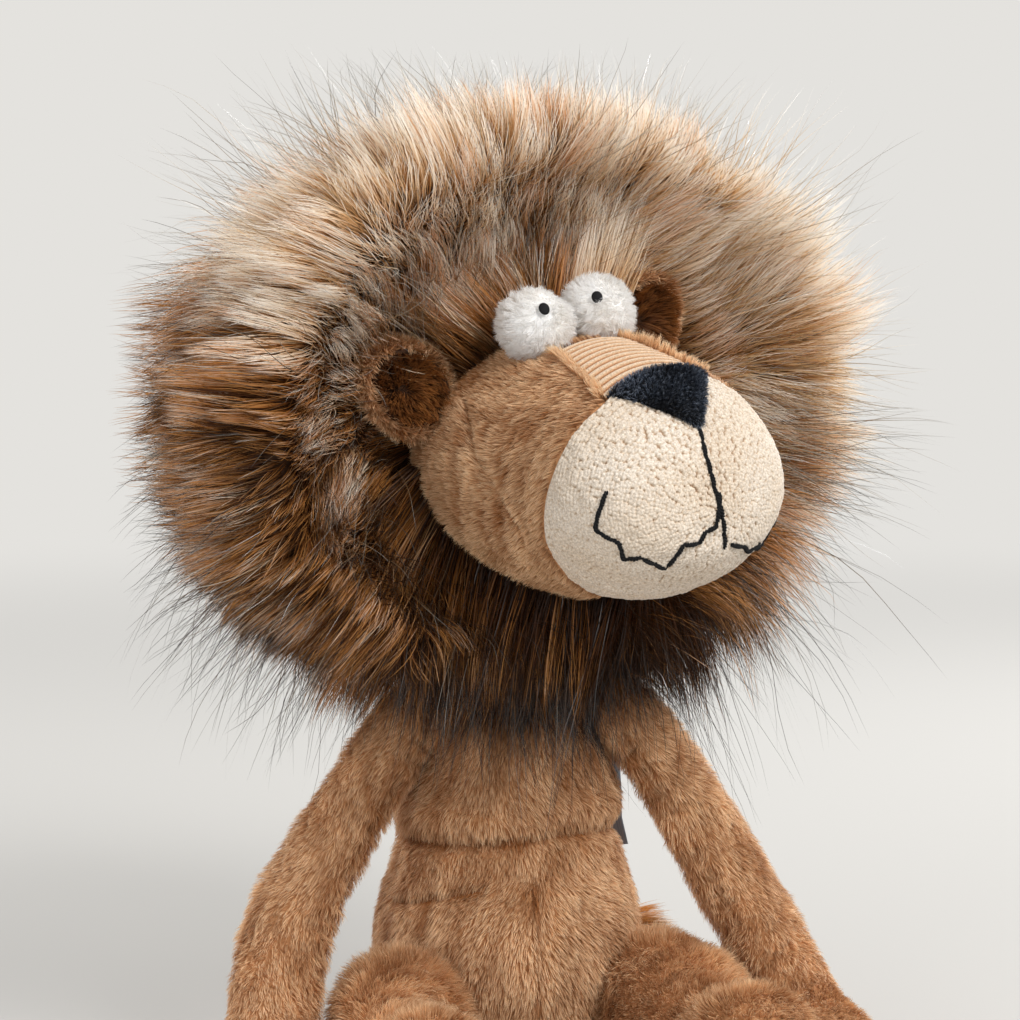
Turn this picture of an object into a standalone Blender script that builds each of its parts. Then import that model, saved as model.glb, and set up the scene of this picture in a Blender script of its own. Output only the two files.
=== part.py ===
"""A seated plush lion: sewn, stuffed covers, a long-pile mane, a stitched face and limp limbs.

The lion faces -Y and sits on the plane Z = 0. Its own left is +X. Lengths are in metres.
The head, neck, arms, legs and tail turn in ball seats, as sewn limbs flop about their seams.
"""
import math

import bmesh
import bpy
import numpy as np

# Fits between pieces
FIT_GAP = 0.0003
BALL_GAP = 0.0003
CUT_DEPTH = 0.0005
OVERRUN = 0.004

# Fabrics
SKIN = 0.0025
THREAD = 0.0022

# Torso
TORSO_HEIGHT = 0.176
TORSO_WIDTH = 0.112
TORSO_DEPTH = 0.100
POUCH_TOP = 0.026
# height, half width, half depth, forward set of each ring
TORSO_SHARES = (
    (0.0, 0.0, 0.0, 0.0),
    (0.0, 0.64, 0.62, 0.0),
    (0.045, 0.86, 0.84, 0.0),
    (0.13, 0.98, 0.98, 0.0),
    (0.26, 1.0, 1.0, 0.02),
    (0.38, 0.955, 0.96, 0.03),
    (0.475, 0.87, 0.87, 0.03),
    (0.54, 0.825, 0.82, 0.02),
    (0.61, 0.83, 0.83, 0.0),
    (0.72, 0.80, 0.79, -0.02),
    (0.82, 0.74, 0.70, -0.02),
    (0.91, 0.60, 0.56, 0.0),
    (0.97, 0.38, 0.36, 0.0),
    (1.0, 0.0, 0.0, 0.0),
)
TORSO_SIDES = 24

# Neck
NECK_RADIUS = 0.030
NECK_RISE = 0.021
NECK_OPEN_ANGLE = math.radians(18)
NECK_RINGS = 8
BALL_SIDES = 24
BIG_SEAT_SHARE = 0.7

# Head, turned and tilted as it is held at rest
HEAD_TURN = math.radians(17)
HEAD_TILT = math.radians(9)
SKULL_FORWARD = 0.044
SKULL_RISE = 0.066
HEAD_LENGTH = 0.182
HEAD_WIDTH = 0.116
HEAD_HEIGHT = 0.105
SKULL_SHARE = 0.33
# length from the back, half width, middle height, half height of each ring
HEAD_SHARES = (
    (0.0, 0.0, 0.0, 0.0),
    (0.0137, 0.293, 0.019, 0.285),
    (0.0495, 0.534, 0.037, 0.514),
    (0.11, 0.741, 0.051, 0.718),
    (0.192, 0.905, 0.047, 0.886),
    (0.286, 0.983, 0.028, 0.975),
    (0.3956, 1.0, 0.01, 1.0),
    (0.4945, 0.974, 0.0, 0.99),
    (0.593, 0.922, 0.005, 0.976),
    (0.681, 0.879, -0.014, 0.929),
    (0.769, 0.862, -0.043, 0.871),
    (0.835, 0.831, -0.057, 0.79),
    (0.901, 0.74, -0.1, 0.652),
    (0.9505, 0.6, -0.133, 0.495),
    (0.981, 0.405, -0.176, 0.329),
    (0.9945, 0.19, -0.19, 0.143),
    (1.0, 0.0, -0.19, 0.0),
)
HEAD_SIDES = 22
# ring number at which the muzzle's edge lies, at even angles from the crown to the chin
EDGE_RINGS = (10.6, 10.68, 10.1, 9.35, 9.0, 8.9)
COVER_RINGS = 11
MUZZLE_RINGS = 6

# Nose bridge of ribbed cloth, set in the head cover, and the nose below it
BRIDGE_START_RING = 7.8
BRIDGE_WIDTH = 0.031
NOSE_WIDTH = 0.048
NOSE_TAPER_SHARE = 0.9
NOSE_END_RING = 12.8
NOSE_THICKNESS = 0.0035
NOSE_ROWS = 6
NOSE_COLUMNS = 8

# Mouth: three runs of thread on the muzzle, as ring number and share of a half turn from the crown.
# Rings past the last one lie beyond the muzzle's foremost point, on the chin's side.
PHILTRUM_RINGS = (12.95, 14.3, 15.5, 16.6, 17.6)
PHILTRUM_SHARES = (0.0, 0.0, 0.0, 0.0, 0.0)
RIGHT_LIP_RINGS = (15.35, 14.85, 14.3, 13.75, 13.1, 12.65, 12.3, 11.85, 11.75, 12.1)
RIGHT_LIP_SHARES = (0.90, 0.76, 0.70, 0.715, 0.74, 0.66, 0.60, 0.545, 0.50, 0.40)
LEFT_LIP_RINGS = (14.2, 13.6, 12.9, 12.2, 11.6, 11.2)
LEFT_LIP_SHARES = (0.94, 0.87, 0.84, 0.83, 0.80, 0.76)
THREAD_STEPS = 4

# Eyes
EYE_RADIUS = 0.0148
EYE_FORWARD = 0.031
EYE_RISE = 0.0605
EYE_SIDES = 14
EYE_RINGS = 8
PUPIL_WIDTH = 0.0050
PUPIL_THICKNESS = 0.0009
PUPIL_LIFT = math.radians(31)
PUPIL_TURN_LEFT = math.radians(-29)
PUPIL_TURN_RIGHT = math.radians(-14)

# Ears: the left one stands a little higher than the right
EAR_LENGTH = 0.040
EAR_WIDTH = 0.031
EAR_BEND_RADIUS = 0.024
EAR_BACK_THICKNESS = 0.0035
EAR_LINING_THICKNESS = 0.0018
LEFT_EAR_ANGLE = math.radians(47)
RIGHT_EAR_ANGLE = math.radians(53)
EAR_SEAT = 0.018
EAR_BACKSET = 0.001
EAR_RINGS = 3
EAR_SIDES = 14

# Mane: the room that its pile fills, in five sewn panels. It stands forward round the face like a dish.
MANE_SIDE = 0.157
MANE_ASIDE = 0.007
MANE_RISE = 0.126
MANE_DROP = 0.104
MANE_DEPTH = 0.156
MANE_FORWARD = 0.020
MANE_LIFT = 0.024
MANE_RIM_SHARE = 0.31
MANE_BACK_SHARE = 0.115
# reach out from the face, width of the back's dome and distance back from the foremost hair
MANE_SHARES = (
    (0.0, 1.0, 0.20),
    (0.18, 1.0, 0.18),
    (0.37, 1.0, 0.14),
    (0.58, 1.0, 0.09),
    (0.77, 1.0, 0.037),
    (0.91, 1.0, 0.0),
    (1.0, 1.0, 0.064),
    (1.0, 1.0, 0.24),
    (1.0, 0.965, 0.45),
    (1.0, 0.88, 0.65),
    (1.0, 0.70, 0.83),
    (1.0, 0.42, 0.96),
    (1.0, 0.0, 1.0),
)
MANE_BACK_ROW = 9
MANE_PANELS = ("mane_crown", "mane_right", "mane_throat", "mane_left")
MANE_SEAMS = (math.radians(46), math.radians(134), math.radians(230), math.radians(310), math.radians(406))
MANE_BACK_RINGS = 6
MANE_COLUMNS = 6
MANE_CLEARANCE = 0.017

# Arms: root at the shoulder, then outward, forward and down to the paw
SHOULDER_SHARE = 0.85
SHOULDER_STAND = 0.006
SHOULDER_FORWARD = 0.014
ARM_ROOT_RADIUS = 0.015
ARM_OUT = 0.074
ARM_FORWARD = 0.068
ARM_WIDTH = 0.036
ARM_DEPTH = 0.031
# outward, forward, down, width and depth of each ring
ARM_SHARES = (
    (0.10, 0.04, 0.045, 0.78, 0.90),
    (0.33, 0.06, 0.22, 0.80, 0.92),
    (0.57, 0.06, 0.43, 0.92, 0.96),
    (0.76, 0.12, 0.62, 1.0, 1.0),
    (0.89, 0.35, 0.80, 1.0, 1.0),
    (0.97, 0.70, 0.955, 1.0, 1.0),
    (1.0, 1.0, 1.0, 1.06, 1.04),
)
ARM_SIDES = 12

# Legs: root at the hip, then forward along the floor
HIP_SHARE = 0.99
HIP_FORWARD_SHARE = 0.73
LEG_ROOT_RADIUS = 0.027
LEG_OUT = 0.012
LEG_FORWARD = 0.092
LEG_WIDTH = 0.054
# outward, forward, width and height of each ring
LEG_SHARES = (
    (0.25, 0.10, 1.0, 1.0),
    (0.55, 0.28, 0.97, 0.97),
    (0.78, 0.50, 0.85, 0.85),
    (0.90, 0.74, 0.84, 0.86),
    (1.0, 1.0, 0.94, 0.98),
)
LEG_SIDES = 14

# Tail
TAIL_RADIUS = 0.0065
TAIL_ROOT_RADIUS = 0.0085
TAIL_ROOT_HEIGHT = 0.019
TAIL_BACK = 0.062
TAIL_SIDE = 0.060
# sideways, backward and down of each ring
TAIL_SHARES = (
    (0.02, 0.22, 0.45),
    (0.08, 0.45, 1.0),
    (0.24, 0.70, 1.0),
    (0.52, 0.92, 1.0),
    (0.80, 1.0, 1.0),
    (1.0, 0.95, 1.0),
)
TAIL_SIDES = 10
TUFT_LENGTH = 0.044
TUFT_RADIUS = 0.013
TUFT_SIDES = 12
TUFT_RINGS = 7

# Care label, bare, hung from the left side seam, a little behind the arm
LABEL_WIDTH = 0.015
LABEL_LENGTH = 0.058
LABEL_THICKNESS = 0.0008
LABEL_TOP_SHARE = 0.80
LABEL_BACK_ANGLE = math.radians(20)
LABEL_TURN = math.radians(-4)
LABEL_BOW = 0.004
LABEL_ROWS = 6

# Ball-shaped ends of the limbs, as angles from the widest ring
ROOT_CAP_ANGLES = (math.radians(-70), math.radians(-35), 0.0)
TIP_CAP_ANGLES = (math.radians(38), math.radians(66))

NORMAL_STEP = 0.01


def clear_scene():
    for item in list(bpy.data.objects):
        bpy.data.objects.remove(item, do_unlink=True)


def fabric(name, colour, roughness):
    """A Principled material with the piece's plain colour."""
    material = bpy.data.materials.new(name)
    material.use_nodes = True
    shader = material.node_tree.nodes["Principled BSDF"]
    shader.inputs["Base Color"].default_value = (*colour, 1.0)
    shader.inputs["Roughness"].default_value = roughness
    shader.inputs["Metallic"].default_value = 0.0
    material.diffuse_color = (*colour, 1.0)
    return material


def make_empty(name, place, turn=(0.0, 0.0, 0.0), parent=None):
    empty = bpy.data.objects.new(name, None)
    empty.location = place
    empty.rotation_euler = turn
    empty.parent = parent
    bpy.context.collection.objects.link(empty)
    return empty


def make_object(name, points, faces, material, parent=None):
    """An object from points and faces, with double points at the poles merged."""
    mesh = bpy.data.meshes.new(name)
    mesh.from_pydata([tuple(map(float, point)) for point in points], [], faces)
    shape = bmesh.new()
    shape.from_mesh(mesh)
    bmesh.ops.recalc_face_normals(shape, faces=shape.faces)
    shape.to_mesh(mesh)
    shape.free()
    mesh.shade_smooth()
    if material is not None:
        mesh.materials.append(material)
    item = bpy.data.objects.new(name, mesh)
    item.parent = parent
    bpy.context.collection.objects.link(item)
    return item


def make_cutter(name, points, faces, parent=None):
    cutter = make_object(name, points, faces, None, parent)
    cutter.hide_render = True
    cutter.display_type = "WIRE"
    return cutter


def cut(item, *cutters):
    for cutter in cutters:
        modifier = item.modifiers.new("cut_" + cutter.name, "BOOLEAN")
        modifier.operation = "DIFFERENCE"
        modifier.solver = "EXACT"
        modifier.object = cutter


def loft(rings):
    """Points and faces of a closed form. The first and last rings are single points."""
    points = []
    starts = []
    for ring in rings:
        starts.append(len(points))
        points.extend(ring)
    faces = []
    for index in range(len(rings) - 1):
        low, high = starts[index], starts[index + 1]
        low_count, high_count = len(rings[index]), len(rings[index + 1])
        sides = max(low_count, high_count)
        for side in range(sides):
            after = (side + 1) % sides
            if low_count == 1:
                faces.append((low, high + side, high + after))
            elif high_count == 1:
                faces.append((low + side, high, low + after))
            else:
                faces.append((low + side, high + side, high + after))
                faces.append((low + side, high + after, low + after))
    return points, faces


def thick_grid(outer, inner, keep, wrap):
    """A closed form between two grids of points, where keep says which cells it fills."""
    rows, columns = outer.shape[:2]
    cells = columns if wrap else columns - 1
    points = np.concatenate([outer.reshape(-1, 3), inner.reshape(-1, 3)])
    below = rows * columns
    faces = []

    def at(row, column):
        return row * columns + column % columns

    def filled(row, column):
        if wrap:
            column %= cells
        elif not 0 <= column < cells:
            return False
        return 0 <= row < rows - 1 and keep(row, column)

    for row in range(rows - 1):
        for column in range(cells):
            if not filled(row, column):
                continue
            a, b = at(row, column), at(row, column + 1)
            c, d = at(row + 1, column + 1), at(row + 1, column)
            faces.extend([(a, b, c), (a, c, d)])
            faces.extend([(a + below, c + below, b + below), (a + below, d + below, c + below)])
            walls = (
                (row - 1, column, a, b),
                (row, column + 1, b, c),
                (row + 1, column, d, c),
                (row, column - 1, a, d),
            )
            for next_row, next_column, low, high in walls:
                if not filled(next_row, next_column):
                    faces.extend([(low, high, high + below), (low, high + below, low + below)])
    return points, faces


def make_grid_object(name, outer, inner, material, parent=None, keep=None, wrap=False):
    """An object from two grids, with the unused and double points taken away."""
    points, faces = thick_grid(outer, inner, keep or (lambda row, column: True), wrap)
    mesh = bpy.data.meshes.new(name)
    mesh.from_pydata([tuple(map(float, point)) for point in points], [], faces)
    shape = bmesh.new()
    shape.from_mesh(mesh)
    bmesh.ops.remove_doubles(shape, verts=shape.verts, dist=FIT_GAP / len("double"))
    bmesh.ops.dissolve_degenerate(shape, edges=shape.edges, dist=FIT_GAP / len("degenerate"))
    loose = [vertex for vertex in shape.verts if not vertex.link_faces]
    bmesh.ops.delete(shape, geom=loose, context="VERTS")
    bmesh.ops.recalc_face_normals(shape, faces=shape.faces)
    shape.to_mesh(mesh)
    shape.free()
    mesh.shade_smooth()
    if material is not None:
        mesh.materials.append(material)
    item = bpy.data.objects.new(name, mesh)
    item.parent = parent
    bpy.context.collection.objects.link(item)
    return item


def along(rows, station):
    """Values of a table at a fractional row number, on a smooth curve through the rows."""
    table = np.asarray(rows, float)
    station = np.clip(np.asarray(station, float), 0, len(table) - 1)
    index = np.minimum(station.astype(int), len(table) - 2)
    part = (station - index)[..., None]
    before = table[np.maximum(index - 1, 0)]
    start = table[index]
    end = table[index + 1]
    after = table[np.minimum(index + 2, len(table) - 1)]
    rise_start = (end - before) / 2
    rise_end = (after - start) / 2
    drop = start - end
    return (
        start
        + rise_start * part
        + (-3 * drop - 2 * rise_start - rise_end) * part**2
        + (2 * drop + rise_start + rise_end) * part**3
    )


def torso_rings(inset):
    """The torso's rings from its flat seat to its crown, moved in by inset."""
    angles = np.arange(TORSO_SIDES) * math.tau / TORSO_SIDES
    half_width = TORSO_WIDTH / 2 - inset
    half_depth = TORSO_DEPTH / 2 - inset
    height = TORSO_HEIGHT - 2 * inset
    rings = []
    for rise, width, depth, forward in TORSO_SHARES:
        if width == 0:
            rings.append([(0.0, 0.0, inset + rise * height)])
            continue
        x = width * half_width * np.sin(angles)
        y = -depth * half_depth * np.cos(angles) - forward * half_depth
        z = np.full_like(x, inset + rise * height)
        rings.append(list(zip(x, y, z)))
    return rings


def torso_half(share):
    """The torso's half width and half depth at a share of its height."""
    rises = [row[0] for row in TORSO_SHARES][1:]
    width = np.interp(share, rises, [row[1] for row in TORSO_SHARES][1:]) * TORSO_WIDTH / 2
    depth = np.interp(share, rises, [row[2] for row in TORSO_SHARES][1:]) * TORSO_DEPTH / 2
    return float(width), float(depth)


def ball_rings(centre, radius, sides, count, start=0.0, end=math.pi):
    """Rings of a ball from its top to its foot. Full ends are single points."""
    rings = []
    for step in range(count + 1):
        angle = start + (end - start) * step / count
        if angle in (0.0, math.pi):
            rings.append([(centre[0], centre[1], centre[2] + radius * math.cos(angle))])
            continue
        turns = np.arange(sides) * math.tau / sides
        x = centre[0] + radius * math.sin(angle) * np.sin(turns)
        y = centre[1] - radius * math.sin(angle) * np.cos(turns)
        z = np.full_like(x, centre[2] + radius * math.cos(angle))
        rings.append(list(zip(x, y, z)))
    return rings


def head_values(ring):
    """Length, half width, middle and half height of the head's form at a fractional ring."""
    shares = along(HEAD_SHARES, ring)
    length = (shares[..., 0] - SKULL_SHARE) * HEAD_LENGTH
    width = np.maximum(shares[..., 1], 0) * HEAD_WIDTH / 2
    middle = shares[..., 2] * HEAD_HEIGHT / 2
    half = np.maximum(shares[..., 3], 0) * HEAD_HEIGHT / 2
    return length, width, middle, half


def head_surface(ring, angle):
    """A point of the head's form, from the skull's middle. Angle 0 is the crown."""
    length, width, middle, half = head_values(ring)
    x = width * np.sin(angle)
    y = -length + 0 * x
    z = middle + half * np.cos(angle)
    return np.stack([x, y, z], axis=-1)


def head_point(ring, angle, offset=0.0):
    """A point of the head's form, moved out along the surface by offset."""
    ring, angle = np.broadcast_arrays(np.asarray(ring, float), np.asarray(angle, float))
    last = len(HEAD_SHARES) - 1
    point = head_surface(ring, angle)
    near = np.clip(ring, 2 * NORMAL_STEP, last - 2 * NORMAL_STEP)
    along_length = head_surface(near + NORMAL_STEP, angle) - head_surface(near - NORMAL_STEP, angle)
    around = head_surface(near, angle + NORMAL_STEP) - head_surface(near, angle - NORMAL_STEP)
    normal = np.cross(along_length, around)
    normal /= np.maximum(np.linalg.norm(normal, axis=-1, keepdims=True), NORMAL_STEP**6)
    normal = np.where((ring <= 0)[..., None], (0.0, 1.0, 0.0), normal)
    normal = np.where((ring >= last)[..., None], (0.0, -1.0, 0.0), normal)
    return point + normal * offset + (0.0, -SKULL_FORWARD, SKULL_RISE)


def edge_ring(angle):
    """The ring at which the muzzle begins, for an angle from the crown."""
    share = np.abs(angle) / math.pi
    return np.interp(share, np.linspace(0, 1, len(EDGE_RINGS)), EDGE_RINGS)


def width_angle(ring, half_width):
    """The angle from the crown at which the head's form is this far from its middle plane."""
    width = np.maximum(head_values(ring)[1], half_width)
    return np.arcsin(np.minimum(half_width / width, 1.0))


def head_columns(ring):
    """Angles of one head ring: the bridge's edges first, the rest even down to the chin."""
    last = float(edge_ring(0.0))
    share = (ring - BRIDGE_START_RING) / (last - BRIDGE_START_RING)
    half_width = (BRIDGE_WIDTH + (NOSE_WIDTH - BRIDGE_WIDTH) * min(max(share, 0.0), 1.0)) / 2
    edge = float(width_angle(np.asarray(ring, float), half_width))
    gap = FIT_GAP / max(float(head_values(np.asarray(ring, float))[1]), EYE_RADIUS)
    half_sides = HEAD_SIDES // 2 - 2
    rest = np.linspace(edge + gap, math.pi, half_sides + 1)
    half = np.concatenate([[edge / 2, edge], rest[:-1]])
    return np.concatenate([[0.0], half, [math.pi], -half[::-1]])


def cover_grid_rings():
    """Ring numbers of the head cover, as shares of the way to the muzzle's edge."""
    start = BRIDGE_START_RING / EDGE_RINGS[0]
    back = np.linspace(0.0, start, COVER_RINGS - 3)
    front = np.linspace(start, 1.0, 4)
    return np.concatenate([back, front[1:]])


def cover_columns(share):
    return head_columns(share * EDGE_RINGS[0])


def cover_grid(offset):
    """Points of the head cover, from the back of the skull to the muzzle's edge."""
    grid = []
    for share in cover_grid_rings():
        angles = cover_columns(share)
        grid.append(head_point(share * edge_ring(angles), angles, offset))
    return np.array(grid)


def muzzle_grid(offset):
    """Points of the muzzle, from its edge, one gap on, to its front."""
    last = len(HEAD_SHARES) - 1
    angles = cover_columns(1.0)
    gap = FIT_GAP * last / HEAD_LENGTH
    grid = []
    for step in range(MUZZLE_RINGS + 1):
        share = step / MUZZLE_RINGS
        start = edge_ring(angles) + gap
        grid.append(head_point(start + (last - start) * share, angles, offset))
    return np.array(grid)


def build_torso(looks, torso, sockets):
    height = POUCH_TOP
    cover = make_object("torso_cover", *loft(torso_rings(0.0)), looks["plush"], torso)
    hollow = make_cutter("torso_hollow", *loft(torso_rings(SKIN)), torso)
    cut(cover, hollow, *sockets)
    rings = torso_rings(SKIN + FIT_GAP)
    split = next(index for index, ring in enumerate(rings) if ring[0][2] > height)
    floor_ring = [(x, y, height) for x, y, z in rings[split - 1]]
    upper_floor = [(x, y, height + FIT_GAP) for x, y, z in rings[split - 1]]
    pouch_rings = rings[:split] + [floor_ring, [(0.0, 0.0, height)]]
    upper_rings = [[(0.0, 0.0, height + FIT_GAP)], upper_floor] + rings[split:]
    pouch = make_object("seat_pellet_pouch", *loft(pouch_rings), looks["pouch"], torso)
    stuffing = make_object("torso_stuffing", *loft(upper_rings), looks["filling"], torso)
    cut(pouch, *sockets)
    cut(stuffing, *sockets)


def build_neck(looks, pivot):
    angles = [
        NECK_OPEN_ANGLE + (math.pi - 2 * NECK_OPEN_ANGLE) * step / (NECK_RINGS - 1)
        for step in range(NECK_RINGS)
    ]
    turns = np.arange(BALL_SIDES) * math.tau / BALL_SIDES

    def band(radius):
        return np.array([
            np.stack([
                radius * math.sin(angle) * np.sin(turns),
                -radius * math.sin(angle) * np.cos(turns),
                np.full_like(turns, radius * math.cos(angle)),
            ], axis=-1)
            for angle in angles
        ])

    make_grid_object("neck_cover", band(NECK_RADIUS), band(NECK_RADIUS - SKIN), looks["plush"], pivot, wrap=True)
    rings = ball_rings((0, 0, 0), NECK_RADIUS - SKIN - FIT_GAP, BALL_SIDES, NECK_RINGS + 1)
    make_object("neck_stuffing", *loft(rings), looks["filling"], pivot)


def build_head(looks, head, neck_socket):
    rings = cover_grid_rings()
    window_row = int(np.argmin(np.abs(rings - BRIDGE_START_RING / EDGE_RINGS[0])))
    columns = len(cover_columns(0.0))

    def beside_bridge(row, column):
        in_bridge = column in (0, 1, 2, columns - 3, columns - 2, columns - 1)
        return row < window_row or not in_bridge

    cover = make_grid_object(
        "head_cover", cover_grid(0.0), cover_grid(-SKIN), looks["plush"], head, beside_bridge, True
    )
    cut(cover, neck_socket)
    make_grid_object("muzzle_panel", muzzle_grid(0.0), muzzle_grid(-SKIN), looks["terry"], head, wrap=True)

    inset = -SKIN - FIT_GAP
    grid = [list(map(tuple, row)) for row in cover_grid(inset)]
    front = [list(map(tuple, row)) for row in muzzle_grid(inset)]
    body = [[grid[0][0]]] + grid[1:] + front[1:-1] + [[front[-1][0]]]
    stuffing = make_object("head_stuffing", *loft(body), looks["filling"], head)
    cut(stuffing, neck_socket)

    bridge_rows = rings[window_row:]
    gap_share = FIT_GAP / HEAD_LENGTH
    bridge_rows = bridge_rows + gap_share * np.linspace(1, 0, len(bridge_rows))

    def bridge_grid(offset):
        rows = []
        for share in bridge_rows:
            edge = cover_columns(share)[2]
            angles = np.array([-edge, -edge / 2, 0.0, edge / 2, edge])
            rows.append(head_point(share * edge_ring(angles), angles, offset))
        return np.array(rows)

    make_grid_object("nose_bridge_panel", bridge_grid(0.0), bridge_grid(-SKIN), looks["corduroy"], head)
    build_nose(looks, head)
    build_mouth(looks, head)


def nose_half_width(share):
    """Half width of the nose, from its top edge, share 0, to its foot, share 1."""
    return NOSE_WIDTH / 2 * (1 - share) ** NOSE_TAPER_SHARE


def build_nose(looks, head):
    def grid(offset, rim):
        rows = []
        for row in range(NOSE_ROWS + 1):
            share = row / NOSE_ROWS
            ring = EDGE_RINGS[0] + (NOSE_END_RING - EDGE_RINGS[0]) * share
            half = max(nose_half_width(share), THREAD) - rim
            edge = float(width_angle(np.asarray(ring), max(half, THREAD / 2)))
            angles = np.linspace(-edge, edge, NOSE_COLUMNS + 1)
            rows.append(head_point(ring, angles, offset))
        return np.array(rows)

    outer = grid(FIT_GAP + NOSE_THICKNESS, NOSE_THICKNESS / 2)
    make_grid_object("nose", outer, grid(FIT_GAP, 0.0), looks["nose_plush"], head)


def thread_run(name, side, rings, shares, looks, head):
    """A run of thread that lies on the muzzle, as a tube with filled ends."""
    last = len(HEAD_SHARES) - 1
    steps = (len(rings) - 1) * THREAD_STEPS + 1
    stations = np.linspace(0, len(rings) - 1, steps)
    route = along(np.column_stack([rings, shares]), stations)
    beyond = route[:, 0] > last
    ring = np.where(beyond, 2 * last - route[:, 0], route[:, 0])
    angle = side * math.pi * (route[:, 1] + beyond)
    points = head_point(ring, angle, FIT_GAP * 2 + THREAD / 2)
    data = bpy.data.curves.new(name, "CURVE")
    data.dimensions = "3D"
    data.bevel_depth = THREAD / 2
    data.bevel_resolution = 1
    data.use_fill_caps = True
    spline = data.splines.new("POLY")
    spline.points.add(len(points) - 1)
    for knot, point in zip(spline.points, points):
        knot.co = (*point, 1.0)
    data.materials.append(looks["thread"])
    item = bpy.data.objects.new(name, data)
    item.parent = head
    bpy.context.collection.objects.link(item)


def build_mouth(looks, head):
    thread_run("philtrum_stitch", 1, PHILTRUM_RINGS, PHILTRUM_SHARES, looks, head)
    thread_run("mouth_stitch_left", 1, LEFT_LIP_RINGS, LEFT_LIP_SHARES, looks, head)
    thread_run("mouth_stitch_right", -1, RIGHT_LIP_RINGS, RIGHT_LIP_SHARES, looks, head)


def head_form(offset):
    """The whole head's form, moved out by offset, as one closed cutter."""
    last = len(HEAD_SHARES) - 1
    angles = np.arange(HEAD_SIDES) * math.tau / HEAD_SIDES
    rings = [[tuple(head_point(0.0, 0.0, offset))]]
    for ring in range(1, last):
        rings.append(list(map(tuple, head_point(float(ring), angles, offset))))
    rings.append([tuple(head_point(float(last), 0.0, offset))])
    return loft(rings)


def cap_grids(radius, angle, rings, sides):
    """Points of a round cap of a ball, from its middle to its rim, bulging to +Y."""
    turns = np.arange(sides) * math.tau / sides
    rows = []
    for step in range(rings + 1):
        tip = angle * step / rings
        rows.append(np.stack([
            radius * math.sin(tip) * np.cos(turns),
            np.full_like(turns, radius * math.cos(tip)),
            radius * math.sin(tip) * np.sin(turns),
        ], axis=-1))
    return np.array(rows)


def build_eyes(looks, head, seat):
    for side, name, turn in ((1, "left", PUPIL_TURN_LEFT), (-1, "right", PUPIL_TURN_RIGHT)):
        centre = (
            side * (EYE_RADIUS + FIT_GAP / 2),
            -SKULL_FORWARD - EYE_FORWARD,
            SKULL_RISE + EYE_RISE,
        )
        place = make_empty("eye_place_" + name, centre, (-PUPIL_LIFT, 0.0, turn), head)
        ball = make_object(
            "eye_" + name, *loft(ball_rings((0, 0, 0), EYE_RADIUS, EYE_SIDES, EYE_RINGS)), looks["white_plush"]
        )
        ball.parent = head
        ball.location = centre
        cut(ball, seat)
        angle = PUPIL_WIDTH / 2 / EYE_RADIUS
        outer = cap_grids(EYE_RADIUS + FIT_GAP + PUPIL_THICKNESS, angle * 0.8, 2, EYE_SIDES)
        inner = cap_grids(EYE_RADIUS + FIT_GAP, angle, 2, EYE_SIDES)
        flip = np.array((1.0, -1.0, 1.0))
        make_grid_object("pupil_" + name, outer * flip, inner * flip, looks["thread"], place, wrap=True)


def build_ears(looks, head, seat):
    """Two cupped discs of cloth, each longer than wide, that stand out of the skull."""
    stretch = np.array((1.0, 1.0, EAR_LENGTH / EAR_WIDTH))
    for side, name, lean in ((1, "left", LEFT_EAR_ANGLE), (-1, "right", RIGHT_EAR_ANGLE)):
        skull = np.array((HEAD_WIDTH * math.sin(lean), 0.0, HEAD_HEIGHT * math.cos(lean))) / 2
        centre = skull + np.array((math.sin(lean), 0.0, math.cos(lean))) * EAR_SEAT
        centre = centre * (side, 1.0, 1.0) + (0.0, -SKULL_FORWARD - EAR_BEND_RADIUS + EAR_BACKSET, SKULL_RISE)
        reach = math.asin(EAR_WIDTH / 2 / EAR_BEND_RADIUS)
        rim = reach * (1 - EAR_LINING_THICKNESS / EAR_WIDTH)
        front = EAR_BEND_RADIUS - FIT_GAP
        place = make_empty("ear_place_" + name, tuple(centre), (0.0, side * lean, 0.0), head)
        pieces = (
            ("ear_back_", EAR_BEND_RADIUS + EAR_BACK_THICKNESS, EAR_BEND_RADIUS, reach, "plush"),
            ("ear_lining_", front, front - EAR_LINING_THICKNESS, rim, "ear_lining"),
        )
        for start, outer, inner, angle, look in pieces:
            grids = [cap_grids(radius, angle, EAR_RINGS, EAR_SIDES) * stretch for radius in (outer, inner)]
            piece = make_grid_object(start + name, *grids, looks[look], place, wrap=True)
            cut(piece, seat)


def mane_outer(row, around):
    """A point of the mane's outer form. row runs from the face's edge, around from the left side."""
    reach, narrow, depth = np.moveaxis(along(MANE_SHARES, row), -1, 0)
    rim_ring = MANE_RIM_SHARE * (len(HEAD_SHARES) - 1)
    edge = head_point(rim_ring, math.pi / 2 - around, SKIN) - (0.0, -SKULL_FORWARD, SKULL_RISE)
    up = np.where(np.sin(around) > 0, MANE_RISE, MANE_DROP)
    x = MANE_ASIDE + MANE_SIDE * np.cos(around)
    z = MANE_LIFT + up * np.sin(around)
    x = narrow * (edge[..., 0] + (x - edge[..., 0]) * reach)
    y = MANE_DEPTH * depth - MANE_FORWARD
    z = narrow * (edge[..., 2] + (z - edge[..., 2]) * reach)
    return np.stack([x, y, z], axis=-1) + (0.0, -SKULL_FORWARD, SKULL_RISE)


def mane_grids(rows, rings, around):
    """Points of a mane panel: its outside, and its inside on the head's form, a gap out."""
    outer = [mane_outer(np.full_like(around, row), around) for row in rows]
    inner = [head_point(ring, math.pi / 2 - around, FIT_GAP * 3) for ring in rings]
    return np.array(outer), np.array(inner)


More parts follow.
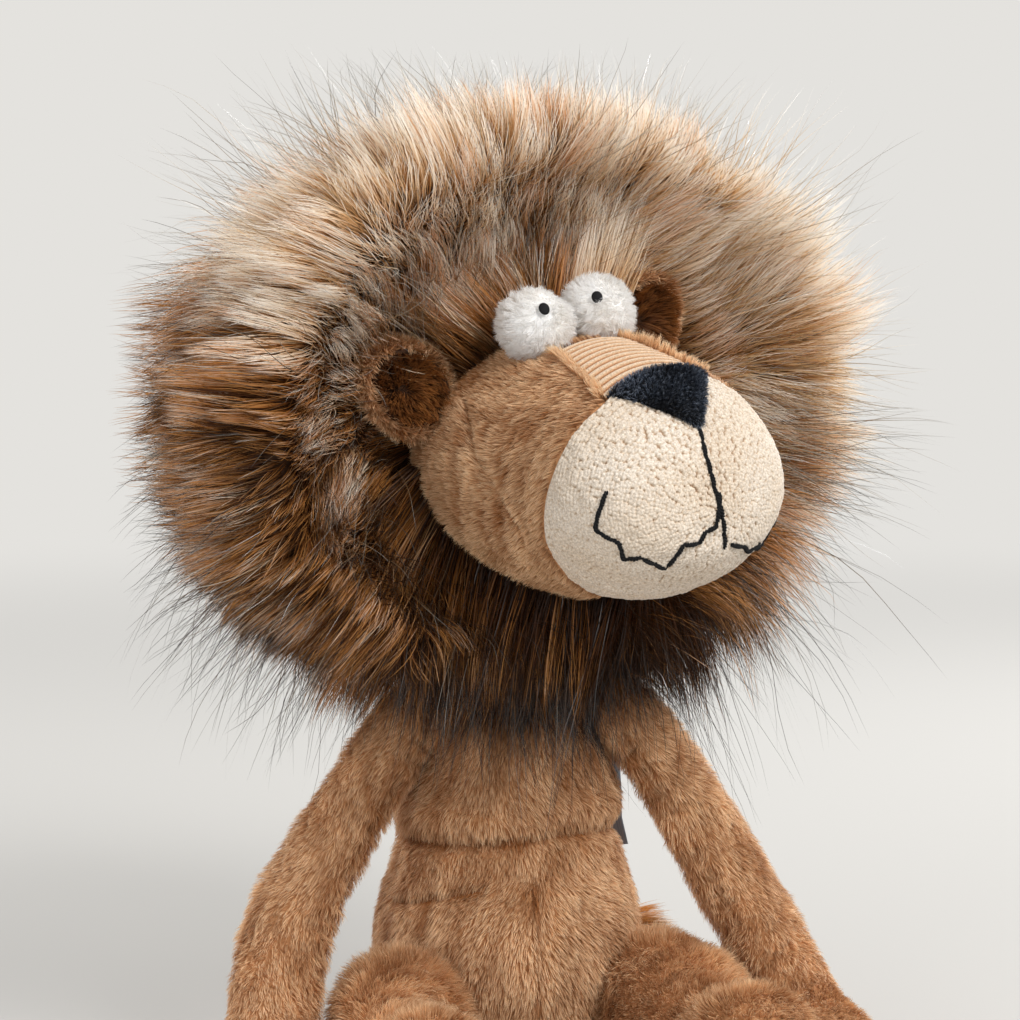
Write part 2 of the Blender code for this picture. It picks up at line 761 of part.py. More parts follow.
def build_mane(looks, head, undercut, neck_socket):
    """Four panels round the face and one at the back, each with the room that its pile fills."""
    last = len(MANE_SHARES) - 1
    row_gap = FIT_GAP * last / (MANE_SIDE + MANE_DEPTH)
    half_gap = FIT_GAP / (MANE_SIDE + HEAD_WIDTH / 2)
    ring_gap = FIT_GAP * (len(HEAD_SHARES) - 1) / HEAD_LENGTH
    rim_ring = MANE_RIM_SHARE * (len(HEAD_SHARES) - 1)
    back_ring = MANE_BACK_SHARE * (len(HEAD_SHARES) - 1)
    seams = []
    rows = np.linspace(0, MANE_BACK_ROW - row_gap / 2, MANE_BACK_ROW + 1)
    rings = np.linspace(rim_ring, back_ring + ring_gap, MANE_BACK_ROW + 1)
    for name, start, end in zip(MANE_PANELS, MANE_SEAMS, MANE_SEAMS[1:]):
        seams.append(np.linspace(start, end, MANE_COLUMNS + 1)[:-1])
        around = np.linspace(start + half_gap, end - half_gap, MANE_COLUMNS + 1)
        panel = make_grid_object(name, *mane_grids(rows, rings, around), looks["mane"], head)
        cut(panel, undercut, neck_socket)
    rows = np.linspace(MANE_BACK_ROW + row_gap / 2, last, MANE_BACK_RINGS)
    rings = np.linspace(back_ring - ring_gap, 0.0, MANE_BACK_RINGS)
    back = mane_grids(rows, rings, np.concatenate(seams))
    panel = make_grid_object("mane_back", *back, looks["mane"], head, wrap=True)
    cut(panel, undercut, neck_socket)


def limb_rings(stations, root_radius, inset, wide_way):
    """Rings of a sewn limb: a ball at the root, the body along its route and a rounded tip.

    Each station is a place, a half width and a half depth. wide_way is the width's direction.
    """
    places = np.array([station[0] for station in stations])
    halves = np.array([station[1] for station in stations]) - inset
    ways = np.gradient(places, axis=0)
    ways[0] = places[1] - places[0]
    ways[-1] = places[-1] - places[-2]
    ways /= np.linalg.norm(ways, axis=1, keepdims=True)
    root_way = ways[0]

    def ring(place, way, half_wide, half_deep, sides):
        across = wide_way - way * np.dot(wide_way, way)
        across /= np.linalg.norm(across)
        deep = np.cross(way, across)
        turns = np.arange(sides) * math.tau / sides
        return (
            place
            + np.outer(np.cos(turns), across) * half_wide
            + np.outer(np.sin(turns), deep) * half_deep
        )

    sides = LEG_SIDES if root_radius > NECK_RADIUS / 2 + SKIN else ARM_SIDES
    root = root_radius - inset
    rings = []
    for angle in ROOT_CAP_ANGLES:
        width = root * math.cos(angle)
        rings.append(ring(places[0] + root_way * root * math.sin(angle), root_way, width, width, sides))
    for place, way, half in zip(places[1:], ways[1:], halves[1:]):
        rings.append(ring(place, way, half[0], half[1], sides))
    tip_way = ways[-1]
    tip_half = halves[-1]
    tip_reach = float(min(tip_half))
    for angle in TIP_CAP_ANGLES:
        middle = places[-1] + tip_way * tip_reach * math.sin(angle)
        rings.append(ring(middle, tip_way, *(tip_half * math.cos(angle)), sides))
    rings.append(np.array([places[-1] + tip_way * tip_reach]))
    for points in rings:
        points[:, 2] = np.maximum(points[:, 2], inset)
    return rings


def limb_shell(outer, inner):
    """A sewn skin, open at the root: out along the outer rings and back along the inner."""
    return loft([outer[-1]] + outer[-2::-1] + inner)


def as_lists(rings):
    return [list(map(tuple, ring)) for ring in rings]


def build_limb(name, stations, root_radius, wide_way, looks, parent, pivot):
    local = [(np.array(place) - pivot, half) for place, half in stations]
    floor_drop = np.array((0.0, 0.0, pivot[2]))

    def rings(inset):
        lifted = [(place + floor_drop, half) for place, half in local]
        made = limb_rings(lifted, root_radius, inset, wide_way)
        return as_lists([ring - floor_drop for ring in made])

    outer = rings(0.0)
    make_object(name + "_cover", *limb_shell(outer, rings(SKIN)), looks["plush"], parent)
    filling = rings(SKIN + FIT_GAP)
    start = [tuple(np.mean(filling[0], axis=0))]
    make_object(name + "_stuffing", *loft([start] + filling), looks["filling"], parent)


def shoulder_place(side):
    height = SHOULDER_SHARE * TORSO_HEIGHT
    return np.array((
        side * (torso_half(SHOULDER_SHARE)[0] + SHOULDER_STAND),
        -SHOULDER_FORWARD,
        height,
    ))


def arm_stations(side):
    shoulder = shoulder_place(side)
    down = shoulder[2] - ARM_SHARES[-1][-1] * ARM_DEPTH / 2 + 2 * CUT_DEPTH
    halves = np.array((ARM_WIDTH / 2, ARM_DEPTH / 2))
    stations = [(shoulder, np.array((ARM_ROOT_RADIUS, ARM_ROOT_RADIUS)))]
    for out, forward, drop, width, depth in ARM_SHARES:
        place = shoulder + (side * out * ARM_OUT, -forward * ARM_FORWARD, -drop * down)
        stations.append((place, halves * (width, depth)))
    return stations


def hip_place(side):
    return np.array((
        side * HIP_SHARE * TORSO_WIDTH / 2,
        -HIP_FORWARD_SHARE * TORSO_DEPTH / 2,
        LEG_ROOT_RADIUS - CUT_DEPTH,
    ))


def leg_stations(side):
    hip = hip_place(side)
    stations = [(hip, np.array((LEG_ROOT_RADIUS, LEG_ROOT_RADIUS)))]
    for out, forward, width, depth in LEG_SHARES:
        half = np.array((width, depth)) * LEG_WIDTH / 2
        place = np.array((
            hip[0] + side * out * LEG_OUT,
            hip[1] - forward * LEG_FORWARD,
            half[1] - CUT_DEPTH,
        ))
        stations.append((place, half))
    return stations


def tail_place():
    return np.array((0.0, TORSO_DEPTH / 2 + TAIL_ROOT_RADIUS / 2, TAIL_ROOT_HEIGHT))


def build_tail(looks, parent):
    root = tail_place()
    down = root[2] - TAIL_RADIUS + CUT_DEPTH
    half = np.array((TAIL_RADIUS, TAIL_RADIUS))
    stations = [(root, np.array((TAIL_ROOT_RADIUS, TAIL_ROOT_RADIUS)))]
    for aside, back, drop in TAIL_SHARES:
        stations.append((root + (aside * TAIL_SIDE, back * TAIL_BACK, -drop * down), half))
    rings = limb_rings(stations, TAIL_ROOT_RADIUS, 0.0, np.array((0.0, 0.0, 1.0)))
    rings = as_lists([ring - root for ring in rings])
    start = [tuple(np.mean(rings[0], axis=0))]
    make_object("tail_cover", *loft([start] + rings), looks["plush"], parent)
    end = stations[-1][0]
    way = end - stations[-2][0]
    way /= np.linalg.norm(way)
    start_place = end + way * (TAIL_RADIUS + FIT_GAP)
    across = np.array((-way[1], way[0], 0.0))
    turns = np.arange(TUFT_SIDES) * math.tau / TUFT_SIDES
    tuft = []
    for step in range(TUFT_RINGS + 1):
        share = step / TUFT_RINGS
        half_round = math.sin(math.pi * share**0.8)
        middle = start_place + way * TUFT_LENGTH * share
        middle[2] = max(TUFT_RADIUS * half_round, TAIL_RADIUS) - CUT_DEPTH
        if step in (0, TUFT_RINGS):
            tuft.append(np.array([middle]))
            continue
        ring = (
            middle
            + np.outer(np.cos(turns), across) * TUFT_RADIUS * half_round
            + np.outer(np.sin(turns), (0.0, 0.0, 1.0)) * TUFT_RADIUS * half_round
        )
        ring[:, 2] = np.maximum(ring[:, 2], 0.0)
        tuft.append(ring)
    tuft = as_lists([ring - root for ring in tuft])
    make_object("tail_tuft", *loft(tuft), looks["mane"], parent)


def build_label(looks, torso):
    """A bare ribbon that stands out of the side seam and hangs down it."""
    rows = []
    way = np.array((math.cos(LABEL_TURN), -math.sin(LABEL_TURN), 0.0))
    for row in range(LABEL_ROWS + 1):
        share = row / LABEL_ROWS
        height = LABEL_TOP_SHARE * TORSO_HEIGHT - share * LABEL_LENGTH
        width, depth = torso_half(height / TORSO_HEIGHT)
        bow = LABEL_BOW * math.sin(math.pi * share)
        start = np.array((
            (width + FIT_GAP * 2) * math.cos(LABEL_BACK_ANGLE),
            (depth + FIT_GAP * 2) * math.sin(LABEL_BACK_ANGLE),
            height,
        ))
        rows.append((start, start + way * LABEL_WIDTH + (0.0, bow, 0.0)))
    front = np.array(rows)
    back = front + (0.0, LABEL_THICKNESS, 0.0)
    make_grid_object("care_label", front, back, looks["satin"], torso)


def build_sockets(torso, shoulders, hips, tail, neck):
    """The ball seats that the torso is cut by. Each is wider than its ball by the gap."""
    seats = [("neck_seat", NECK_RADIUS, neck)]
    seats += [("shoulder_seat_" + name, ARM_ROOT_RADIUS, place) for name, place in shoulders]
    seats += [("hip_seat_" + name, LEG_ROOT_RADIUS, place) for name, place in hips]
    seats.append(("tail_seat", TAIL_ROOT_RADIUS, tail))
    cutters = []
    for name, radius, place in seats:
        sides = BALL_SIDES if radius > NECK_RADIUS * BIG_SEAT_SHARE else BALL_SIDES * 2 // 3
        sag = 1 / math.cos(math.pi / sides) ** 2
        rings = ball_rings((0, 0, 0), (radius + BALL_GAP) * sag, sides, sides // 2)
        cutter = make_cutter(name, *loft(rings), None)
        cutter.location = tuple(place)
        cutter.parent = torso
        cutters.append(cutter)
    return cutters


def build_undercut(neck_place):
    """The room below the mane, in which the shoulders move: all that lies below one plane."""
    turns = np.arange(4) * math.tau / 4
    reach = MANE_SIDE * 3

    def ring(height):
        return list(zip(reach * np.sin(turns), reach * np.cos(turns), np.full_like(turns, height)))

    low, high = -MANE_SIDE, -MANE_CLEARANCE
    cutter = make_cutter("shoulder_room", *loft([[(0.0, 0.0, low)], ring(low), ring(high), [(0.0, 0.0, high)]]))
    cutter.location = neck_place
    return cutter


def main():
    clear_scene()
    looks = {
        "plush": fabric("short_plush", (0.43, 0.21, 0.085), 0.9),
        "mane": fabric("long_pile", (0.36, 0.18, 0.075), 0.75),
        "terry": fabric("terry", (0.80, 0.66, 0.47), 0.95),
        "corduroy": fabric("corduroy", (0.78, 0.47, 0.28), 0.9),
        "nose_plush": fabric("black_plush", (0.012, 0.012, 0.015), 0.7),
        "white_plush": fabric("white_plush", (0.86, 0.86, 0.83), 0.9),
        "ear_lining": fabric("ear_lining", (0.20, 0.09, 0.04), 0.9),
        "thread": fabric("black_thread", (0.01, 0.01, 0.01), 0.6),
        "filling": fabric("fibre_filling", (0.85, 0.85, 0.83), 1.0),
        "pouch": fabric("pellet_pouch", (0.6, 0.58, 0.52), 0.9),
        "satin": fabric("satin_ribbon", (0.05, 0.06, 0.09), 0.35),
    }
    neck_place = (0.0, 0.0, TORSO_HEIGHT + NECK_RISE)
    torso = make_empty("torso_origin", (0.0, 0.0, 0.0))
    neck = make_empty("neck_pivot", neck_place)
    head = make_empty("head_pivot", neck_place, (0.0, -HEAD_TILT, HEAD_TURN))
    shoulders = [("left", shoulder_place(1)), ("right", shoulder_place(-1))]
    hips = [("left", hip_place(1)), ("right", hip_place(-1))]
    sockets = build_sockets(torso, shoulders, hips, tail_place(), neck_place)
    build_torso(looks, torso, sockets)
    build_neck(looks, neck)
    build_head(looks, head, sockets[0])
    seat = make_cutter("skull_seat", *head_form(FIT_GAP * 3), head)
    build_eyes(looks, head, seat)
    build_ears(looks, head, seat)
    build_mane(looks, head, build_undercut(neck_place), sockets[0])
    for side, name in ((1, "left"), (-1, "right")):
        shoulder = shoulder_place(side)
        pivot = make_empty("shoulder_pivot_" + name, tuple(shoulder))
        wide = np.array((1.0, float(side), 0.0)) / math.sqrt(2)
        build_limb("arm_" + name, arm_stations(side), ARM_ROOT_RADIUS, wide, looks, pivot, shoulder)
        hip = hip_place(side)
        pivot = make_empty("hip_pivot_" + name, tuple(hip))
        wide = np.array((1.0, 0.0, 0.0))
        build_limb("leg_" + name, leg_stations(side), LEG_ROOT_RADIUS, wide, looks, pivot, hip)
    tail = make_empty("tail_pivot", tuple(tail_place()))
    build_tail(looks, tail)
    build_label(looks, torso)


main()
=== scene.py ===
"""A sitting plush lion, sewn from pile fabrics, with a big mane of long pile faux fur."""

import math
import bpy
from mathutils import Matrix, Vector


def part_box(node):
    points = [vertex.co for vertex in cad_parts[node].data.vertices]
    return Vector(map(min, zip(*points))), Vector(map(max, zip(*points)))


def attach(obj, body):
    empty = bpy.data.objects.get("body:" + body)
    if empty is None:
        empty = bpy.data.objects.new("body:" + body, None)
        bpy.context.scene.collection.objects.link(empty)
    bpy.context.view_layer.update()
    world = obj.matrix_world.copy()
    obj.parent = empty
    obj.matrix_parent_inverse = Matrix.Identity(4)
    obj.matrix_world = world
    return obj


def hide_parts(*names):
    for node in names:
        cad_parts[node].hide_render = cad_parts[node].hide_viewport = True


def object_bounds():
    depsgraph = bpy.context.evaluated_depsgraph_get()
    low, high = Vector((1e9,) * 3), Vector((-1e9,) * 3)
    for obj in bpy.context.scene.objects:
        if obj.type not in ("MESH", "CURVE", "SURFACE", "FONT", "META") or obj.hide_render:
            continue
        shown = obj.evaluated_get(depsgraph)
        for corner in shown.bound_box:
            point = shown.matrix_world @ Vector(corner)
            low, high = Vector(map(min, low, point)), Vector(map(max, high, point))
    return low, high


bl_info = {
    "name": "Plush Lion",
    "version": (1, 0, 0),
    "blender": (4, 5, 0),
    "location": "View3D > Sidebar > Plush Lion",
    "description": "Sews the lion's covers over its frame and grows their pile",
    "category": "Object",
}

import bmesh
import bpy
import numpy as np
from mathutils import Euler
from mathutils import Vector
from mathutils.kdtree import KDTree

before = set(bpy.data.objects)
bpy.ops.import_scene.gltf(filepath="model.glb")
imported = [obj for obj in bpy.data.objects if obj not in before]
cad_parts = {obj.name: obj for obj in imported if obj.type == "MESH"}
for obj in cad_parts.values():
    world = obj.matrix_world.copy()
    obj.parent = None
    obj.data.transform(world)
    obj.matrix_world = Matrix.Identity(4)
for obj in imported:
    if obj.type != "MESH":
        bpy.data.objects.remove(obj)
cad_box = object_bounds()

MM = 0.001
CAD_LOW = np.array(cad_box[0])
CAD_HIGH = np.array(cad_box[1])
# how far hair tips may stand out past the frame's own box
REACH = np.array((18.5, 17.5, 21)) * MM

# Torso: height, half width, half depth and forward shift, as shares of the sizes
TORSO_HEIGHT = 0.176
TORSO_WIDTH = 0.112
TORSO_DEPTH = 0.100
TORSO_SHARES = (
    (0.0, 0.64, 0.62, 0.0),
    (0.045, 0.86, 0.84, 0.0),
    (0.13, 0.98, 0.98, 0.0),
    (0.26, 1.0, 1.0, 0.02),
    (0.38, 0.955, 0.96, 0.03),
    (0.475, 0.87, 0.87, 0.03),
    (0.54, 0.825, 0.82, 0.02),
    (0.61, 0.83, 0.83, 0.0),
    (0.72, 0.80, 0.79, -0.02),
    (0.82, 0.74, 0.70, -0.02),
    (0.91, 0.60, 0.56, 0.0),
    (0.97, 0.38, 0.36, 0.0),
    (1.0, 0.0, 0.0, 0.0),
)

# Head: a neck pivot, then a skull that is turned to the lion's left and tipped up
NECK_PLACE = np.array((0.0, 0.0, 0.197))
NECK_RADIUS = 0.030
HEAD_TURN = Euler((0.0, math.radians(-9), math.radians(17))).to_matrix()
SKULL = np.array((0.0, -0.044, 0.066))
HEAD_LENGTH = 0.182
HEAD_WIDTH = 0.116
HEAD_HEIGHT = 0.105
SKULL_SHARE = 0.33
# length from the back, half width, middle height, half height
HEAD_SHARES = (
    (0.0, 0.0, 0.0, 0.0),
    (0.0137, 0.293, 0.019, 0.285),
    (0.0495, 0.534, 0.037, 0.514),
    (0.11, 0.741, 0.051, 0.718),
    (0.192, 0.905, 0.047, 0.886),
    (0.286, 0.983, 0.028, 0.975),
    (0.3956, 1.0, 0.01, 1.0),
    (0.4945, 0.974, 0.0, 0.99),
    (0.593, 0.922, 0.005, 0.976),
    (0.681, 0.879, -0.014, 0.929),
    (0.769, 0.862, -0.043, 0.871),
    (0.835, 0.831, -0.057, 0.79),
    (0.901, 0.74, -0.1, 0.652),
    (0.9505, 0.6, -0.133, 0.495),
    (0.981, 0.405, -0.176, 0.329),
    (0.9945, 0.19, -0.19, 0.143),
    (1.0, 0.0, -0.19, 0.0),
)
LAST_RING = len(HEAD_SHARES) - 1
EDGE_RINGS = (10.6, 10.68, 10.1, 9.35, 9.0, 8.9)
BRIDGE_START_RING = 7.8
BRIDGE_WIDTH = 0.031
NOSE_WIDTH = 0.048
NOSE_END_RING = 12.8
NOSE_TAPER = 0.9
NOSE_THICKNESS = 0.0035
# the cheek's dart and the upper edge of its nap, in the head's axes
CHEEK_DART = np.array((
    (-0.0446, -0.0628, 0.1007), (-0.0487, -0.0699, 0.0945), (-0.0541, -0.0813, 0.0802),
    (-0.0539, -0.0940, 0.0671), (-0.0515, -0.1004, 0.0546), (-0.0490, -0.0988, 0.0462),
))
CHEEK_TOP = np.array((
    (-0.0487, -0.0699, 0.0945), (-0.0409, -0.0963, 0.0994),
    (-0.0363, -0.1174, 0.0981), (-0.0323, -0.1287, 0.0981),
))
# the mouth's stitches: ring, and angle from the crown as a share of a half turn to the lion's left
PHILTRUM = ((12.83, 0.0), (13.71, -0.028), (14.85, -0.065), (15.36, -0.958), (14.12, -0.999))
RIGHT_LIP = (
    (15.08, -0.025), (15.15, -0.850), (14.74, -0.763), (14.34, -0.789), (14.0, -0.713),
    (13.55, -0.753), (12.79, -0.787), (12.62, -0.683), (12.09, -0.671), (12.31, -0.600),
    (11.73, -0.551), (11.76, -0.526), (12.12, -0.406),
)
LEFT_LIP = ((14.2, 0.95), (13.7, 0.87), (13.1, 0.86), (12.6, 0.79), (12.2, 0.80), (11.8, 0.74), (11.9, 0.66))
THREAD = 0.0022

EYE_RADIUS = 0.0148
EYE_PLACE = np.array((0.01495, -0.075, 0.1265))
PUPIL_WIDTH = 0.0050
PUPIL_LIFT = math.radians(31)
PUPIL_TURNS = {"left": math.radians(-29), "right": math.radians(-14)}

EAR_LENGTH = 0.040
EAR_WIDTH = 0.031
EAR_BEND = 0.024
EAR_LEANS = {"left": math.radians(47), "right": math.radians(53)}
EAR_SEAT = 0.018
EAR_BACKSET = 0.001

# Mane: the form that the pile fills, a shallow dish round the face with a domed back
MANE_SIDE = 0.157
MANE_ASIDE = 0.007
MANE_RISE = 0.126
MANE_DROP = 0.104
MANE_DEPTH = 0.156
MANE_FORWARD = 0.020
MANE_LIFT = 0.024
MANE_RIM_RING = 4.96
MANE_BACK_ROW = 9
# reach to the side and up, narrowing, and depth from the face back
MANE_SHARES = (
    (0.0, 1.0, 0.20),
    (0.18, 1.0, 0.18),
    (0.37, 1.0, 0.14),
    (0.58, 1.0, 0.09),
    (0.77, 1.0, 0.037),
    (0.91, 1.0, 0.0),
    (1.0, 1.0, 0.064),
    (1.0, 1.0, 0.24),
    (1.0, 0.965, 0.45),
    (1.0, 0.88, 0.65),
    (1.0, 0.70, 0.83),
    (1.0, 0.42, 0.96),
    (1.0, 0.0, 1.0),
)
# how far the sewn body under the hair reaches out, forward and back in that form
CORE_REACH = 0.80
CORE_FRONT = 0.06
CORE_BACK = 0.91
MANE_SEAMS = {
    "crown": (46, 134), "right": (134, 230), "throat": (230, 310), "left": (310, 406), "back": (0, 360),
}

# Arms: out, forward and down as shares of the reach, then half width and half depth
SHOULDER = np.array((0.04483, -0.014, 0.1496))
ARM_ROOT_RADIUS = 0.015
ARM_OUT = 0.074
ARM_FORWARD = 0.068
ARM_WIDTH = 0.036
ARM_DEPTH = 0.031
ARM_SHARES = (
    (0.10, 0.04, 0.045, 0.78, 0.90),
    (0.33, 0.06, 0.22, 0.80, 0.92),
    (0.57, 0.06, 0.43, 0.92, 0.96),
    (0.76, 0.12, 0.62, 1.0, 1.0),
    (0.89, 0.35, 0.80, 1.0, 1.0),
    (0.97, 0.70, 0.955, 1.0, 1.0),
    (1.0, 1.0, 1.0, 1.06, 1.04),
)
HIP = np.array((0.05544, -0.0365, 0.0265))
LEG_ROOT_RADIUS = 0.027
LEG_OUT = 0.012
LEG_FORWARD = 0.092
LEG_WIDTH = 0.054
# legs: out and forward as shares of the reach, then half width and half depth
LEG_SHARES = (
    (0.25, 0.10, 1.0, 1.0),
    (0.55, 0.28, 0.97, 0.97),
    (0.78, 0.50, 0.85, 0.85),
    (0.90, 0.74, 0.84, 0.86),
    (1.0, 1.0, 0.94, 0.98),
)
TAIL_PLACE = np.array((0.0, 0.05425, 0.019))
TAIL_RADIUS = 0.0065
TAIL_ROOT_RADIUS = 0.0085
TAIL_BACK = 0.062
TAIL_SIDE = 0.060
# tail: aside, back and down as shares of the reach
TAIL_SHARES = (
    (0.02, 0.22, 0.45), (0.08, 0.45, 1.0), (0.24, 0.70, 1.0),
    (0.52, 0.92, 1.0), (0.80, 1.0, 1.0), (1.0, 0.95, 1.0),
)
TUFT_LENGTH = 0.044
TUFT_RADIUS = 0.013
LABEL_WIDTH = 0.015
LABEL_LENGTH = 0.058
LABEL_TOP_SHARE = 0.80
LABEL_BACK_ANGLE = math.radians(20)
LABEL_TURN = math.radians(-4)
LABEL_BOW = 0.004

SIDES = ((1, "left"), (-1, "right"))
# the slanting seam of the front panel: its height at this turn, and its rise over this many degrees
SEAM_HEIGHT = 0.0705
SEAM_TURN = 79
SEAM_RUN = 52
SEAM_RISE = 0.010
DART_DEPTH = 2.4 * MM
FIRST_HAIR_RING = 4.3
# short plush: how light its tips are as a whole, and the spread of the mane's hair in degrees
PLUSH_TONE = 0.20
HAIR_SPREAD = 9
STITCH_LENGTH = 0.0058
YARN_TWIST = 0.0034


def linear(code):
    """A colour written as sRGB hex, as linear values."""
    values = [int(code[i : i + 2], 16) / 255 for i in (1, 3, 5)]
    return tuple(v / 12.92 if v <= 0.04045 else ((v + 0.055) / 1.055) ** 2.4 for v in values) + (1.0,)


def add_node(tree, kind, inputs=None, **settings):
    """Adds a node, sets its settings, and fills or links its inputs."""
    node = tree.nodes.new(kind)
    for key, value in settings.items():
        setattr(node, key, value)
    for key, value in (inputs or {}).items():
        if isinstance(value, bpy.types.NodeSocket):
            tree.links.new(value, node.inputs[key])
        else:
            node.inputs[key].default_value = value
    return node


def add_ramp(tree, factor, stops):
    ramp = add_node(tree, "ShaderNodeValToRGB", {0: factor})
    elements = ramp.color_ramp.elements
    while len(elements) < len(stops):
        elements.new(0.5)
    for element, (place, code) in zip(elements, stops):
        element.position = place
        element.color = linear(code)
    return ramp.outputs["Color"]


def new_material(name):
    material = bpy.data.materials.new(name)
    material.use_nodes = True
    tree = material.node_tree
    tree.nodes.clear()
    return material, tree


def pile_material(name, dark, light, middle=None, roughness=0.55, glow=0.25, shine=0.35):
    """Fibres of pile: each runs from root to tip along V, and U is how light the fibre is. The ramps darken
    towards the roots as painted shade among the fibres, and U blends shaded and lit copies of the colours,
    which carries painted light wherever a tone follows the light.
    """
    material, tree = new_material(name)
    layout = add_node(tree, "ShaderNodeUVMap", uv_map="Strand")
    parts = add_node(tree, "ShaderNodeSeparateXYZ", {0: layout.outputs["UV"]})
    ramps = [add_ramp(tree, parts.outputs["Y"], stops) for stops in (dark, middle or light, light)]
    colour = ramps[0]
    bounds = ((0.0, 0.5), (0.5, 1.0)) if middle else ((0.0, 1.0),)
    for (low, high), ramp in zip(bounds, ramps[1:]):
        share = add_node(tree, "ShaderNodeMapRange", {0: parts.outputs["X"], 1: low, 2: high})
        mixed = add_node(tree, "ShaderNodeMix", {0: share.outputs[0], 6: colour, 7: ramp}, data_type="RGBA")
        colour = mixed.outputs[2]
    body = add_node(
        tree, "ShaderNodeBsdfPrincipled",
        {"Base Color": colour, "Roughness": roughness, "Specular IOR Level": shine},
    )
    through = add_node(tree, "ShaderNodeBsdfTranslucent", {"Color": colour})
    both = add_node(tree, "ShaderNodeMixShader", {0: glow, 1: body.outputs[0], 2: through.outputs[0]})
    add_node(tree, "ShaderNodeOutputMaterial", {"Surface": both.outputs[0]})
    return material


def finish_cloth(tree, colour, noise, relief, depth, gloss):
    """Joins a cloth's colour, the relief of its grain and its gloss into its surface."""
    height = {"Height": noise.outputs["Fac"], "Strength": relief, "Distance": depth}
    bump = add_node(tree, "ShaderNodeBump", height)
    inputs = {"Base Color": colour, "Normal": bump.outputs[0], **gloss}
    body = add_node(tree, "ShaderNodeBsdfPrincipled", inputs)
    add_node(tree, "ShaderNodeOutputMaterial", {"Surface": body.outputs[0]})


def cloth_material(name, low, high, grain_mm, roughness=0.9):
    """Cloth with a fine uneven grain, whose size is given in millimetres."""
    material, tree = new_material(name)
    place = add_node(tree, "ShaderNodeTexCoord")
    noise = add_node(
        tree, "ShaderNodeTexNoise",
        {"Vector": place.outputs["Object"], "Scale": 1000 / grain_mm, "Detail": 4.0, "Roughness": 0.6},
    )
    colour = add_ramp(tree, noise.outputs["Fac"], ((0.3, low), (0.7, high)))
    gloss = {"Roughness": roughness, "Specular IOR Level": 0.25}
    finish_cloth(tree, colour, noise, 0.3, grain_mm * MM / 2, gloss)
    return material


def satin_material():
    """Polyester satin ribbon: its floats run along it and give a long, cool gloss."""
    material, tree = new_material("satin_ribbon")
    place = add_node(tree, "ShaderNodeUVMap", uv_map="Cloth")
    stretch = add_node(tree, "ShaderNodeMapping", {"Vector": place.outputs[0], "Scale": (70.0, 3.0, 1.0)})
    noise = add_node(tree, "ShaderNodeTexNoise", {"Vector": stretch.outputs[0], "Scale": 1.0, "Detail": 2.0})
    colour = add_ramp(tree, noise.outputs["Fac"], ((0.3, "#6C7686"), (0.7, "#99A2B0")))
    finish_cloth(tree, colour, noise, 0.15, 0.1 * MM, {"Roughness": 0.32, "Anisotropic": 0.5})
    return material


looks = {}


